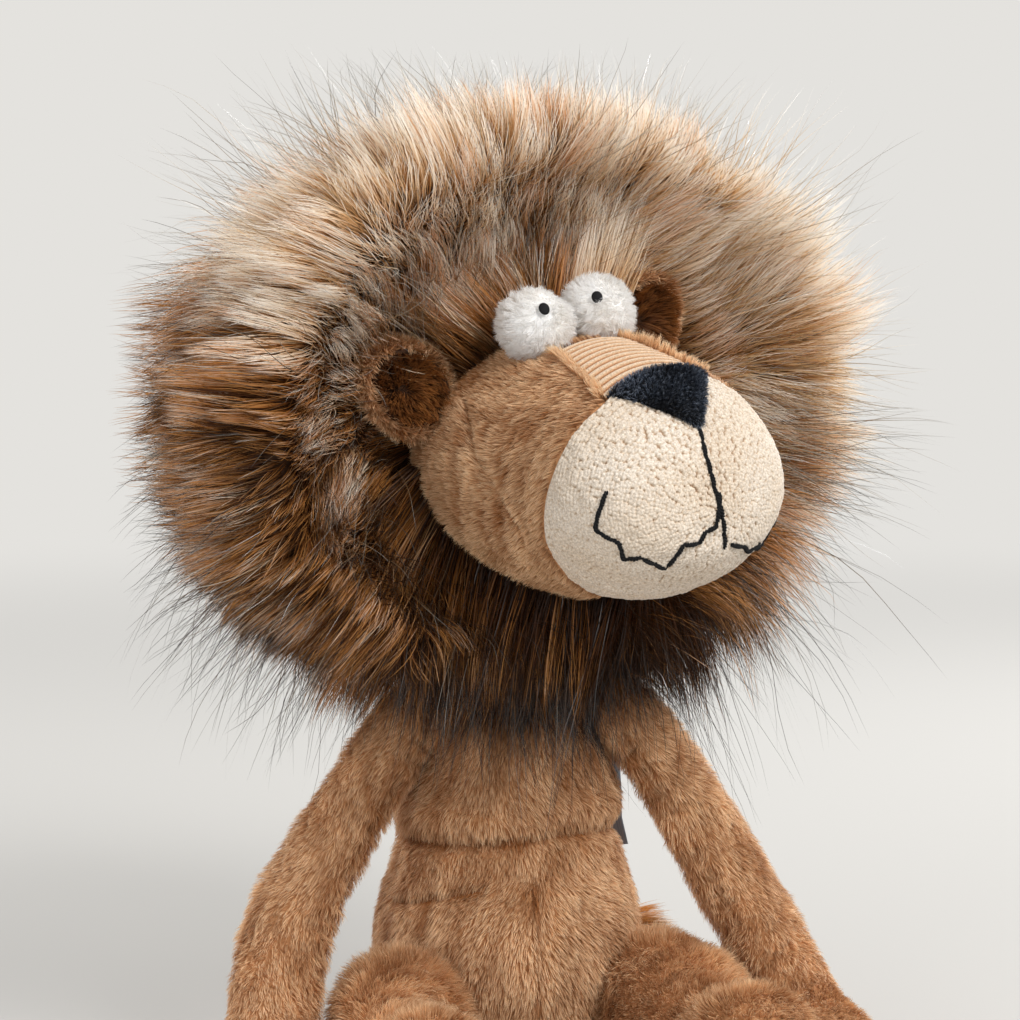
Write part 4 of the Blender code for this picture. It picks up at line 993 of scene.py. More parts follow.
def hair_ways(points, normals, rng, lift):
    """Start and end directions of mane hair: out from the face, back at the back, then down."""
    centre = SKULL + (0.0, 0.0, 0.012)
    away = points - centre
    radial = unit(away * (1.0, 0.0, 1.0))
    back = np.clip(away[:, 1:2] / 0.10, 0.0, 1.0)
    tangent = radial - normals * (radial * normals).sum(axis=1, keepdims=True)
    strength = np.linalg.norm(tangent, axis=1, keepdims=True)
    rearward = np.array((0.0, 1.0, 0.0)) - normals * normals[:, 1:2]
    comb = unit(tangent + rearward * (0.20 + 0.2 * back) + 1e-6)
    swirl = (cloud(points, 0.045, 77) * 0.28)[:, None]
    comb = comb * np.cos(swirl) + np.cross(normals, comb) * np.sin(swirl)
    flat = np.clip(strength, 0.0, 1.0)
    angle = np.radians(lift + (1 - flat[:, 0]) * 46 + rng.normal(size=len(points)) * HAIR_SPREAD)
    if lift:
        starts = comb * np.cos(angle + 0.25)[:, None] + normals * np.sin(angle + 0.25)[:, None]
        ends = comb * np.cos(angle - 0.12)[:, None] + normals * np.sin(angle - 0.12)[:, None]
    else:
        across = np.cross(radial, (0.0, 1.0, 0.0))
        aside = across * (cloud(points, 0.03, 78) * 0.30)[:, None]
        ahead = (cloud(points, 0.04, 79) * 0.16 + rng.normal(size=len(points)) * 0.07)[:, None]
        starts = radial + np.array((0.0, -0.05, 0.0)) + aside
        ends = radial + (0.0, 1.0, 0.0) * (0.05 + ahead) + aside * 1.5
    down = (np.array((0.0, 0.0, -1.0)) @ np.array(HEAD_TURN))[None]
    low = np.clip((0.01 - away[:, 2:3]) / 0.09, 0, 1)
    near = np.exp(-(np.linalg.norm(away[:, [0, 2]], axis=1, keepdims=True) / 0.10) ** 4)
    turn = np.arctan2(away[:, 2], away[:, 0])[:, None]
    sweep = np.exp(-((turn + 2.35) / 0.55) ** 2) * (0.35 + 0.65 * near)
    ends = ends + down * (0.06 + 0.85 * low + 0.3 * back) + sweep * np.array((0.75, -0.15, -0.35))
    starts = starts + sweep * np.array((0.15, -0.1, -0.35))
    return unit(starts), unit(ends)


def push_out(paths):
    """Keeps the mane's lower hair off the torso, the shoulders and the arms."""
    wide, deep = (np.maximum(half, 0.02) for half in torso_halves(paths[..., 2], 4 * MM))
    size = np.sqrt((paths[..., 0] / wide) ** 2 + (paths[..., 1] / deep) ** 2)
    inside = (size < 1) & (paths[..., 2] < TORSO_HEIGHT)
    scale = np.where(inside, 1 / np.maximum(size, 0.05), 1.0)
    paths = paths.copy()
    paths[..., 0] *= scale
    paths[..., 1] *= scale
    for side in (1, -1):
        knots = np.array([place for place, half in arm_stations(side)])[:5]
        for start, end in zip(knots, knots[1:]):
            way = end - start
            share = np.clip(((paths - start) @ way) / (way @ way), 0, 1)
            near = start + share[..., None] * way
            apart = paths - near
            gap = np.linalg.norm(apart, axis=-1, keepdims=True)
            wanted = ARM_WIDTH / 2 + 2 * MM
            paths = np.where(gap < wanted, near + apart / np.maximum(gap, 1e-5) * wanted, paths)
    return paths


def mane_hair(name, skin, count, length, width, look, seed, segments, lift, locks, tone, stray=0.10):
    """Grows hair on a skin in the head's axes. locks are (fibres to a lock, how tight, tone) rows."""
    rng = np.random.default_rng(seed)
    roots, normals, _ = skin.scatter(count, rng)
    if not lift:
        clear = ~by_ears(roots) | (roots[:, 1] > SKULL[1] + 0.010)
        roots, normals = roots[clear], normals[clear]
    count = len(roots)
    starts, ends = hair_ways(roots, normals, rng, lift)
    reach = length * MM * rng.uniform(0.5, 1.15, count) * (1 + 0.16 * cloud(roots, 0.05, seed + 4))
    reach = reach * np.where(by_ears(roots) & (lift > 0), 0.4, 1.0) * (1 + 0.26 * cloud(roots, 0.022, 91))
    away = roots - SKULL
    if not lift:
        reach = reach * (1 - 0.42 * np.clip((-0.02 - away[:, 2]) / 0.03, 0, 1))
    share = np.interp(np.degrees(np.arctan2(away[:, 2], away[:, 0])), REACH_TURNS, REACH_SHARES)
    rear = np.clip((away[:, 1] - 0.05) / 0.05, 0, 1)
    reach = reach * (share + (1.08 - share) * rear)
    paths = grow(roots - normals * 1 * MM, starts, ends, reach, segments, rng, stray=stray, wave=0.12)
    tones = tone(roots) + 0.15 * rng.normal(size=count)
    for size, tight, colour in locks:
        paths, near, lead_tones = clump(paths, size, tight, rng)
        tones = tones + colour * (lead_tones[near] - 0.5)
    paths = clamp_reach(push_out(from_head(paths)))
    item = ribbons(
        name, paths, width * MM * rng.uniform(0.7, 1.2, len(roots)), tones, looks[look], rng,
        facing=head_vector(normals),
    )
    return dress(item, "head", "long_pile")


def by_ears(points):
    """Where no mane hair may grow, so that each ear stays in view."""
    away = points - SKULL
    turn = np.degrees(np.arctan2(away[:, 2], away[:, 0]))
    radius = np.linalg.norm(away[:, [0, 2]], axis=1)
    left = turn - (90 - math.degrees(EAR_LEANS["left"]))
    right = 90 + math.degrees(EAR_LEANS["right"]) - turn
    return (radius < 0.084) & (((left > -26) & (left < 8)) | ((right > -26) & (right < 8)))


REACH_TURNS = (-180, -110, -70, -45, -20, 5, 25, 45, 70, 95, 180)
REACH_SHARES = (0.62, 0.9, 1.1, 1.2, 1.15, 0.95, 0.82, 0.74, 0.72, 0.78, 0.62)
# painted light round the face: how light the mane is painted at each angle, from painted shade under the jaw
# to cream painted highlights
PAINTED_LIGHT_TURNS = (-180, -150, -120, -90, -60, -35, 0, 30, 60, 90, 115, 135, 155, 180)
PAINTED_LIGHT_SHARES = (0.42, 0.26, 0.15, 0.11, 0.16, 0.42, 0.95, 1.1, 1.1, 0.82, 1.1, 0.95, 0.45, 0.42)


def mane_tone_with_painted_light(points):
    """How light the mane is, as painted light: cream painted highlights at the upper left and far side,
    painted shade under the jaw.
    """
    away = points - SKULL
    turn = np.degrees(np.arctan2(away[:, 2], away[:, 0]))
    radius = np.linalg.norm(away[:, [0, 2]], axis=1)
    tone = np.interp(turn, PAINTED_LIGHT_TURNS, PAINTED_LIGHT_SHARES)
    tone = tone + (tone - 0.42) * 0.25 + 0.13 * cloud(points, 0.05, 71)
    # painted shade in a ring round the face, where the mane meets the head
    tone -= 0.20 * np.exp(-(((radius - 0.055) / 0.022) ** 2))
    # painted shade in a parting above the eyes, and dark wisps between the near eye and ear
    inner = np.clip((0.11 - radius) / 0.02, 0, 1)
    parting, wisps = np.exp(-(((turn - 83) / 4.5) ** 2)), np.exp(-(((turn - 124) / 11) ** 2))
    tone -= 0.5 * inner * parting + 0.5 * inner * wisps
    # plain golden brown round the ears
    tone = np.where(by_ears(points), 0.34 + 0.2 * (tone - 0.4), tone)
    back = np.clip(away[:, 1] / 0.06, 0, 1)
    return tone * (1 - 0.5 * back) + 0.42 * 0.5 * back


class LionFaceSettings(bpy.types.PropertyGroup):
    """Sizes of the face's cloth."""

    nub_pitch: bpy.props.FloatProperty(
        name="Terry nub pitch", description="Distance between the terry's loops",
        default=0.0018, unit="LENGTH",
    )
    rib_pitch: bpy.props.FloatProperty(
        name="Corduroy rib pitch", description="Distance between the corduroy's ribs",
        default=0.0037, unit="LENGTH",
    )


class LionPileSettings(bpy.types.PropertyGroup):
    """How thick the plush is, and how many hairs the mane has."""

    plush_density: bpy.props.FloatProperty(
        name="Plush density", description="Short pile fibres to a square millimetre", default=1.5
    )
    mane_hairs: bpy.props.IntProperty(
        name="Mane hairs", description="Long hairs on the whole mane", default=84000
    )


class LION_OT_materials(bpy.types.Operator):
    """Mixes the lion's fabrics"""

    bl_idname = "lion.materials"
    bl_label = "Mix Fabrics"

    def execute(self, context):
        build_materials()
        return {"FINISHED"}


class LION_OT_torso(bpy.types.Operator):
    """Sews the torso and its pellet pouch"""

    bl_idname = "lion.torso"
    bl_label = "Sew Torso"

    def execute(self, context):
        density = context.scene.lion_pile.plush_density
        skin = torso_skin(0.3 * MM)
        stuffed("torso_cloth", skin, "plush_base", "torso", "short_plush", 0.85,
                "torso_cover", "torso_stuffing")

        def front_first(points):
            return np.where(points[:, 1] < 0.02, 1.0, 0.55)

        def tone_with_painted_crease_shade(points):
            turn = np.degrees(np.arctan2(points[:, 0], -points[:, 1]))
            front = np.clip((105 - np.abs(turn)) / 30, 0, 1)
            # painted shade along the waist crease, then darker lines along the belly seam and the front
            # panel's seam
            tone = -0.55 * front * np.exp(-(((points[:, 2] - waist_line(turn)) / 0.0022) ** 2))
            belly = (points[:, 2] < 0.084) & (points[:, 1] < 0)
            tone -= 0.5 * np.exp(-((points[:, 0] / 0.0016) ** 2)) * belly
            panel = (turn > -82) & (turn < -25)
            tone -= 0.5 * np.exp(-(((points[:, 2] - seam_line(turn)) / 0.0016) ** 2)) * panel
            return tone + 0.16 + nap_streaks(points)

        def comb_down(points, normals, flow):
            aside = 1.5 * points[:, 0] + 0.45 * np.tanh(points[:, 0] / 0.003) * (points[:, 2] < 0.086)
            return np.array((0.0, 0.0, -1.0)) + np.stack([aside, 0 * aside, 0 * aside], axis=1)

        plush("torso_pile", skin, "torso", density * 1.2, 5.2, comb_down, front_first, seed=11,
              tone=tone_with_painted_crease_shade, width=0.28, size=16)
        low, high = (np.array(corner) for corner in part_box("seat_pellet_pouch"))
        half = (high - low) / 2
        middle = (high + low) / 2
        rise, turn = grid_of(np.linspace(-math.pi / 2, math.pi / 2, 24), np.linspace(0, math.tau, 49)[:-1])
        flat = np.abs(np.cos(rise)) ** 0.5
        grid = middle + np.stack([
            flat * np.sin(turn) * half[0], -flat * np.cos(turn) * half[1],
            np.sign(np.sin(rise)) * np.abs(np.sin(rise)) ** 0.8 * half[2],
        ], axis=-1)
        pouch = Skin(grid, wrap=True)
        stuffed("pellet_pouch", pouch, "pouch", "torso", "pellet_pouch", 0.8, "seat_pellet_pouch")
        return {"FINISHED"}


def ball_skin(centre, radius):
    rise, turn = grid_of(np.linspace(math.pi, 0.0, 30), full_turn(48))
    grid = np.stack([np.sin(rise) * np.sin(turn), -np.sin(rise) * np.cos(turn), np.cos(rise)], axis=-1)
    return Skin(np.array(centre) + grid * radius, wrap=True)


class LION_OT_limbs(bpy.types.Operator):
    """Sews the arms, the legs and the tail"""

    bl_idname = "lion.limbs"
    bl_label = "Sew Limbs"

    def execute(self, context):
        density = context.scene.lion_pile.plush_density
        for side, name in SIDES:
            self.limb("arm_" + name, arm_skin(side), 0.8, density * 1.15, 5.5,
                      seed=21 + side, rough=0.9, width=0.3, size=18)
            leg = limb_skin(leg_stations(side), np.array((1.0, 0.0, 0.0)), LEG_ROOT_RADIUS)
            self.limb("leg_" + name, leg, 0.85, density * 0.95, 7.5, seed=31 + side, lift=46, rough=1.1)
        stations = [(TAIL_PLACE, np.array((TAIL_ROOT_RADIUS, TAIL_ROOT_RADIUS)))]
        down = TAIL_PLACE[2] - TAIL_RADIUS + 0.5 * MM
        for aside, back, drop in TAIL_SHARES:
            place = TAIL_PLACE + (aside * TAIL_SIDE, back * TAIL_BACK, -drop * down)
            stations.append((place, np.array((TAIL_RADIUS, TAIL_RADIUS))))
        skin = limb_skin(stations, np.array((0.0, 0.0, 1.0)), TAIL_ROOT_RADIUS, sides=32)
        stuffed("tail_cloth", skin, "plush_base", "tail", "short_plush", 0.8, "tail_cover")
        plush("tail_pile", skin, "tail", 1.3, 4.0, seed=41, tone=PLUSH_TONE)
        end = stations[-1][0]
        way = unit(end - stations[-2][0])
        self.tuft(end + way * (TAIL_RADIUS + 0.3 * MM), way)
        return {"FINISHED"}

    def limb(self, body, skin, fill, density, length, **pile):
        """An arm or a leg: its stuffed cover and its pile."""
        nodes = body + "_cover", body + "_stuffing"
        stuffed(body + "_cloth", skin, "plush_base", body, "short_plush", fill, *nodes)
        plush(body + "_pile", skin, body, density, length,
              tone=lambda points: PLUSH_TONE + nap_streaks(points), **pile)

    def tuft(self, start, way):
        """The long-haired end of the tail, round a small stuffed core."""
        rng = np.random.default_rng(43)
        across = np.array((-way[1], way[0], 0.0))
        turns = full_turn(32)
        rings = []
        for step in range(25):
            share = step / 24
            half = TUFT_RADIUS * math.sin(math.pi * share**0.8)
            middle = start + way * TUFT_LENGTH * share
            middle[2] = max(half, TAIL_RADIUS) - 0.5 * MM
            ring = middle + np.outer(np.cos(turns), across) * half + np.outer(np.sin(turns), (0, 0, 1)) * half
            ring[:, 2] = np.maximum(ring[:, 2], 0)
            rings.append(ring)
        skin = Skin(np.array(rings), wrap=True)
        stuffed("tail_tuft_core", skin, "mane_base", "tail", "long_pile", 0.7, "tail_tuft")
        roots, normals, _ = skin.scatter(5000, rng)
        ways = unit(way + normals * 0.45)
        ends = unit(way + normals * 0.1 + (0, 0, -0.15))
        paths = grow(roots, ways, ends, rng.uniform(0.012, 0.028, 5000), 5, rng, stray=0.15)
        paths, near, tones = clump(paths, 30, 0.6, rng)
        item = ribbons(
            "tail_tuft_hair", clamp_reach(paths), 0.35 * MM, 0.1 + 0.8 * tones[near], looks["mane"], rng
        )
        dress(item, "tail", "long_pile")


class LION_OT_head(bpy.types.Operator):
    """Sews the head cover, the neck, the muzzle, the ribbed bridge and the nose"""

    bl_idname = "lion.head"
    bl_label = "Sew Head"

    def execute(self, context):
        settings = context.scene.lion_face
        self.neck()
        self.cover(context.scene.lion_pile.plush_density)
        self.muzzle(settings.nub_pitch)
        self.bridge(settings.rib_pitch)
        self.nose()
        return {"FINISHED"}

    def neck(self):
        skin = ball_skin(NECK_PLACE, NECK_RADIUS)
        stuffed("neck_cloth", skin, "plush_base", "neck", "short_plush", 0.9, "neck_cover", "neck_stuffing")

    def cover(self, density):
        rings = np.linspace(0, LAST_RING, 200)
        angles = full_turn(200)
        ring, angle = grid_of(rings, angles)
        edge = edge_ring(np.where(angle > math.pi, math.tau - angle, angle))
        inner = np.where(ring > edge, -1.2 * MM, 0.2 * MM)
        signed = np.where(angle > math.pi, angle - math.tau, angle)
        window = (ring > BRIDGE_START_RING) & (np.abs(signed) < width_angle(ring, bridge_half(ring)))
        inner = np.where(window, -1.0 * MM, inner)
        skin = head_skin(head_point(ring, angle, inner - cheek_dent(ring, angle)))
        stuffed("head_cloth", skin, "plush_base", "head", "short_plush", 0.95, "head_cover", "head_stuffing")

        def comb(points, normals, flow):
            local = to_head(points) - SKULL
            back = head_vector(np.array((0.0, 1.0, 0.0)))
            down = np.array((0.0, 0.0, -1.0))
            low = np.clip(0.5 - local[:, 2:3] / 0.06, 0, 1)
            ahead = np.clip((-0.045 - local[:, 1:2]) / 0.01, 0, 1)
            ahead = ahead * np.clip((local[:, 2:3] + 0.02) / 0.02, 0, 1)
            return back + down * (low * 0.9 + ahead * 1.1)

        ring, angle = grid_of(np.linspace(FIRST_HAIR_RING, 10.75, 130), angles)
        skin = head_skin(head_point(ring, angle, 0.2 * MM - cheek_dent(ring, angle)))

        def keep(points):
            local = to_head(points) - SKULL
            stations = np.linspace(0, LAST_RING, 400)
            ring = np.interp(-local[:, 1], head_values(stations)[0], stations)
            _, width, middle, half = head_values(ring)
            above = (local[:, 2] - middle) / np.maximum(half, 1e-6)
            angle = np.arctan2(local[:, 0] / np.maximum(width, 1e-6), above)
            bridge = (ring > BRIDGE_START_RING) & (np.abs(local[:, 0]) < bridge_half(ring) + 0.3 * MM)
            return (ring < edge_ring(angle) - 0.02) & ~bridge

        def cheek_tone_with_painted_shade(points):
            local = to_head(points)
            local[:, 0] = -np.abs(local[:, 0])
            # painted shade in the cheek's dart, a painted highlight on the cloth just beside it, and painted
            # shade along the upper edge of the nap
            tone = -0.55 * np.exp(-((gap_to(local, CHEEK_DART) / (1.1 * MM)) ** 2))
            tone += 0.22 * np.exp(-((gap_to(local + (0.0015, 0.004, 0.0), CHEEK_DART) / (3.0 * MM)) ** 2))
            tone -= 0.16 * np.exp(-((gap_to(local, CHEEK_TOP) / (2.0 * MM)) ** 2))
            streak = cloud(local @ np.array(((1, 0, 0), (0, 0.9, 0.35), (0, -0.12, 0.3))), 0.0028, 57)
            return tone + 0.17 * streak + 0.08 * cloud(local, 0.018, 58) + 0.04

        plush("head_pile", skin, "head", density * 2.0, 4.4, comb, seed=51, keep=keep, lift=20, width=0.28,
              amount=0.4, rough=0.6, tone=cheek_tone_with_painted_shade)

    def muzzle(self, pitch):
        """Terry with a loop at every nub, thicker at its middle than at the seam."""
        angles = full_turn(600)
        folded = np.where(angles > math.pi, math.tau - angles, angles)
        start = edge_ring(folded)
        shares = np.linspace(0, 1, 290)[:, None]
        ring = start[None] + (LAST_RING - start[None]) * shares
        angle = np.broadcast_to(angles, ring.shape)
        base = head_point(ring, angle, 0.0)
        normals = unit(head_point(ring, angle, 1 * MM) - base)
        rng = np.random.default_rng(61)
        seeds = []
        place = EDGE_RINGS[-1]
        while place < LAST_RING - 0.02:
            width, half = head_values(np.array(place))[1], head_values(np.array(place))[3]
            count = max(3, round(math.tau * math.sqrt((width**2 + half**2) / 2) / pitch))
            around = (np.arange(count) + rng.uniform(-0.33, 0.33, count) + rng.random()) * math.tau / count
            here = place + rng.uniform(-0.3, 0.3, count) * 0.09
            seeds.append(head_point(here, around, 0.0))
            near, far = (head_point(np.array(spot), np.array(0.8)) for spot in (place, place + 0.05))
            place += 0.05 * pitch * 0.9 / max(float(np.linalg.norm(far - near)), 0.05 * MM)
        seeds = np.concatenate(seeds)
        distance = nearest(seeds, base.reshape(-1, 3))[1].reshape(ring.shape)
        nub = np.sqrt(np.clip(1 - (distance / (pitch * 0.66)) ** 2, 0, 1))
        height = 0.1 * MM + 1.0 * MM * nub + 0.3 * MM * cloud(base, 0.006, 63)
        height *= np.clip(shares / 0.015, 0, 1)
        skin = head_skin(base + normals * height[..., None])
        # the nub height also sets the colour: painted shade in the ground between the loops, the loops' tops
        # paler
        tone = nub * (0.85 + 0.15 * cloud(base, 0.02, 64))
        uv = np.stack([np.broadcast_to(shares, nub.shape), tone], axis=-1)
        item = solid_from("muzzle_terry", skin, looks["terry"], uv[:, ::-1])
        dress(item, "head", "terry", "muzzle_panel")

    def bridge(self, pitch):
        """Corduroy laid with its ribs across the snout."""
        share = np.linspace(0, 1, 300)[:, None]
        side = np.linspace(-1, 1, 60)[None]
        ring_mid = BRIDGE_START_RING + (EDGE_RINGS[0] - BRIDGE_START_RING) * share
        half = bridge_half(ring_mid)
        edge = width_angle(ring_mid, half)
        angle = edge * side
        end = edge_ring(np.abs(angle))
        ring = BRIDGE_START_RING + (end - BRIDGE_START_RING) * share
        base = head_point(ring, angle, 0.0)
        normals = unit(head_point(ring, angle, 1 * MM) - base)
        middle_line = head_point(ring_mid[:, 0], 0 * share[:, 0], 0.0)
        run = length_along(middle_line)
        count = max(3, round(run[-1] / pitch))
        wobble = 0.02 * np.sin(side * 5 + run[:, None] * 900)
        phase = (run[:, None] / run[-1] * count + wobble) * math.pi
        rib = np.abs(np.sin(phase)) ** 0.7
        height = 0.3 * MM + 1.15 * MM * rib
        grid = from_head(base + normals * height[..., None])
        skin = Skin(grid, flip=True)
        # the ribs' height also sets the colour: painted shade in the grooves between the ribs
        uv = np.stack([np.broadcast_to((side + 1) / 2, rib.shape), rib], axis=-1)
        item = mesh_from("nose_bridge_corduroy", skin.points, skin.quads, looks["cord"], uv)
        dress(item, "head", "corduroy", "nose_bridge_panel")
        for side, name in SIDES:
            over = np.linspace(-0.0006, 0.0022, 4)[None]
            ring = np.linspace(BRIDGE_START_RING - 0.2, EDGE_RINGS[0] - 0.1, 60)[:, None]
            angle = side * width_angle(ring, bridge_half(ring) + over)
            strip = head_point(np.broadcast_to(ring, angle.shape), angle, 0.2 * MM)
            skin = Skin(from_head(strip), flip=side > 0)

            def comb(points, normals, flow):
                return head_vector(np.array((side * 0.7, 0.7, 0.2))) + 0 * points

            plush("bridge_edge_pile_" + name, skin, "head", 5.5, 6.5, comb, seed=58 + side, lift=64,
                  width=0.30, size=7, amount=0.75, rough=1.7, tone=0.45)

    def nose(self):
        share = np.linspace(0, 1, 40)[:, None]
        side = np.linspace(-1, 1, 60)[None]
        ring = EDGE_RINGS[0] + (NOSE_END_RING - EDGE_RINGS[0]) * share
        half = np.maximum(NOSE_WIDTH / 2 * (1 - share) ** NOSE_TAPER, THREAD)
        angle = width_angle(ring, half) * side
        ring = np.broadcast_to(ring, angle.shape)
        round_edge = (1 - np.abs(side) ** 3) * np.clip(share * 8, 0, 1) ** 0.5
        round_edge = round_edge * np.clip((1 - share) * 9, 0, 1) ** 0.5
        grid = from_head(head_point(ring, angle, 0.8 * MM + NOSE_THICKNESS * 0.9 * round_edge**0.6))
        skin = Skin(grid, flip=True)
        item = mesh_from("nose_cloth", skin.points, skin.quads, looks["nose_base"])
        dress(item, "head", "black_plush", "nose")

        plush("nose_pile", skin, "head", 5.0, 2.6, seed=66, look="nose", slot="black_plush",
              lift=62, width=0.32, size=6, amount=0.6, rough=1.4, tone=-0.04)


def evened(values, spread=5):
    """A run of points with each one moved to the mean of itself and its neighbours."""
    kernel = np.ones(2 * spread + 1) / (2 * spread + 1)
    columns = [np.convolve(np.pad(column, spread, mode="edge"), kernel, "valid") for column in values.T]
    return np.stack(columns, axis=1)


def stitch_run(name, route, node):
    """Backstitches of twisted yarn: short strokes that dip into the cloth where they meet."""
    table = np.array(route)
    knots = head_point(table[:, 0], math.pi * table[:, 1], 0.0)
    steps = np.linspace(0, len(knots) - 1, (len(knots) - 1) * 60 + 1)
    line = resample(knots, np.arange(len(knots)), steps)
    ring, angle = grid_of(np.linspace(8.5, LAST_RING - 0.05, 300), full_turn(400))
    surface = head_point(ring, angle, 0.0).reshape(-1, 3)
    outward = unit(head_point(ring, angle, 1 * MM).reshape(-1, 3) - surface)
    near, _ = nearest(surface, line)
    low = evened(surface[near])
    normals = unit(evened(outward[near]))
    run = length_along(low)
    strokes = max(2, round(run[-1] / STITCH_LENGTH))
    samples = np.linspace(0, run[-1], strokes * 24 + 1)
    path = resample(low, run, samples)
    up = resample(normals, run, samples)
    phase = samples / run[-1] * strokes
    rise = np.abs(np.sin(phase * math.pi)) ** 0.45
    path = path + up * (0.25 * MM + 1.15 * MM * rise)[:, None]
    way = unit(np.gradient(path, axis=0))
    across = unit(np.cross(way, up))
    over = np.cross(across, way)
    grids = []
    sides = 10
    turns = full_turn(sides)
    for ply in range(3):
        twist = samples / YARN_TWIST * math.tau + ply * math.tau / 3
        thick = THREAD / 2 * 0.48 * (0.70 + 0.30 * rise)
        aside, above = (np.cos(twist) * THREAD * 0.22)[:, None], (np.sin(twist) * THREAD * 0.22)[:, None]
        centre = path + across * aside + over * above
        ring = (
            centre[:, None]
            + across[:, None] * (np.cos(turns)[None, :, None] * thick[:, None, None])
            + over[:, None] * (np.sin(turns)[None, :, None] * thick[:, None, None])
        )
        ring = np.concatenate([centre[:1, None].repeat(sides, 1), ring, centre[-1:, None].repeat(sides, 1)])
        grids.append(Skin(from_head(ring), wrap=True))
    points = np.concatenate([grid.points.reshape(-1, 3) for grid in grids])
    size = grids[0].points.shape[0] * sides
    quads = np.concatenate([grid.quads + index * size for index, grid in enumerate(grids)])
    item = mesh_from(name, points, quads, looks["thread"])
    merge_doubles(item, 0.001 * MM)
    dress(item, "head", "black_thread", node)


class LION_OT_face(bpy.types.Operator):
    """Stitches the mouth, and sets the eyes and the ears"""

    bl_idname = "lion.face"
    bl_label = "Set Face"

    def execute(self, context):
        stitch_run("philtrum_yarn", PHILTRUM, "philtrum_stitch")
        stitch_run("mouth_yarn_left", LEFT_LIP, "mouth_stitch_left")
        stitch_run("mouth_yarn_right", RIGHT_LIP, "mouth_stitch_right")
        for side, name in SIDES:
            self.eye(side, name)
            self.ear(side, name)
        return {"FINISHED"}

    def eye(self, side, name):
        centre = EYE_PLACE * (side, 1, 1)
        skin = ball_skin(centre, EYE_RADIUS - 1.1 * MM)
        skin = Skin(from_head(skin.points), wrap=True)
        stuffed("eye_" + name + "_cloth", skin, "white_base", "head", "white_plush", 0.95, "eye_" + name)
        middle = from_head(centre)

        turn = np.array(Euler((-PUPIL_LIFT, 0.0, PUPIL_TURNS[name])).to_matrix())
        pupil_place = np.array((0.0, -EYE_RADIUS, 0.0)) @ turn.T + centre

        def outside(points):
            local = to_head(points)
            apart = np.linalg.norm(local - pupil_place, axis=1)
            hidden = (np.abs(local[:, 0]) < 0.004) & (local[:, 1] > centre[1] - 0.002)
            return ~(hidden & (local[:, 2] < centre[2])) & (apart > 0.0028)

        def comb(points, normals, flow):
            away = points - middle
            swirl = np.cross(away, np.array((0.3, -0.4, 1.0)))
            return swirl + np.array((0, 0, -0.008))

        plush("eye_" + name + "_pile", skin, "head", 4.6, 4.2, comb, seed=71 + side, look="white",
              slot="white_plush", lift=46, width=0.30, size=28, amount=0.75, keep=outside, rough=1.7)
        reach = PUPIL_WIDTH / 2 / EYE_RADIUS
        tip, spin = grid_of(np.linspace(0, 1, 16), full_turn(40))
        bulge = EYE_RADIUS + 1.0 * MM + 1.0 * MM * np.sqrt(np.clip(1 - tip**2, 0, 1))
        angle = tip * reach * 1.05
        grid = np.stack([
            bulge * np.sin(angle) * np.cos(spin) * 0.8, -bulge * np.cos(angle),
            bulge * np.sin(angle) * np.sin(spin) * 0.95,
        ], axis=-1)
        skin = Skin(from_head(grid @ turn.T + centre), wrap=True)
        pupil = mesh_from("pupil_" + name + "_stitch", skin.points, skin.quads, looks["thread"])
        merge_doubles(pupil)
        dress(pupil, "head", "black_thread", "pupil_" + name)

    def ear(self, side, name):
        lean = EAR_LEANS[name]
        skull = np.array((HEAD_WIDTH * math.sin(lean), 0.0, HEAD_HEIGHT * math.cos(lean))) / 2
        centre = skull + np.array((math.sin(lean), 0.0, math.cos(lean))) * EAR_SEAT
        centre = centre * (side, 1.0, 1.0) + (0.0, SKULL[1] - EAR_BEND + EAR_BACKSET, SKULL[2])
        reach = math.asin(EAR_WIDTH / 2 / EAR_BEND)
        turn = np.array(Euler((0.0, side * lean, 0.0)).to_matrix())

        def cap(radius, angle):
            tip, spin = grid_of(np.linspace(0, angle, 18), full_turn(48))
            grid = np.stack([
                radius * np.sin(tip) * np.cos(spin), radius * np.cos(tip),
                radius * np.sin(tip) * np.sin(spin),
            ], axis=-1)
            return (grid * (1.0, 1.0, EAR_LENGTH / EAR_WIDTH)) @ turn.T + centre

        outer = cap(EAR_BEND + 3.5 * MM, reach)
        inner = cap(EAR_BEND, reach)
        both = np.concatenate([outer, inner[::-1]])
        skin = head_skin(both)
        item = solid_from("ear_" + name + "_cloth", skin, looks["plush_base"])
        dress(item, "head", "short_plush", "ear_back_" + name)
        plush("ear_" + name + "_pile", Skin(from_head(outer), wrap=True), "head", 2.6, 5.5, seed=81 + side,
              lift=24, amount=0.5, tone=0.1)
        rim = np.concatenate([outer[-3:], inner[:-3:-1]])
        plush("ear_rim_pile_" + name, Skin(from_head(rim), wrap=True), "head", 5.0, 5.0, seed=83 + side,
              lift=62, amount=0.5, rough=1.2, width=0.34)
        front = cap(EAR_BEND - 0.3 * MM, reach * 0.97)
        rear = cap(EAR_BEND - 2.1 * MM, reach * 0.97)
        both = np.concatenate([front, rear[::-1]])
        skin = head_skin(both)
        item = solid_from("ear_lining_" + name + "_cloth", skin, looks["lining_base"])
        dress(item, "head", "ear_lining", "ear_lining_" + name)
        skin = head_skin(rear)
        plush("ear_lining_" + name + "_pile", skin, "head", 3.2, 6.5, seed=85 + side, look="lining",
              slot="ear_lining", lift=38, width=0.36, amount=0.55, rough=1.0)


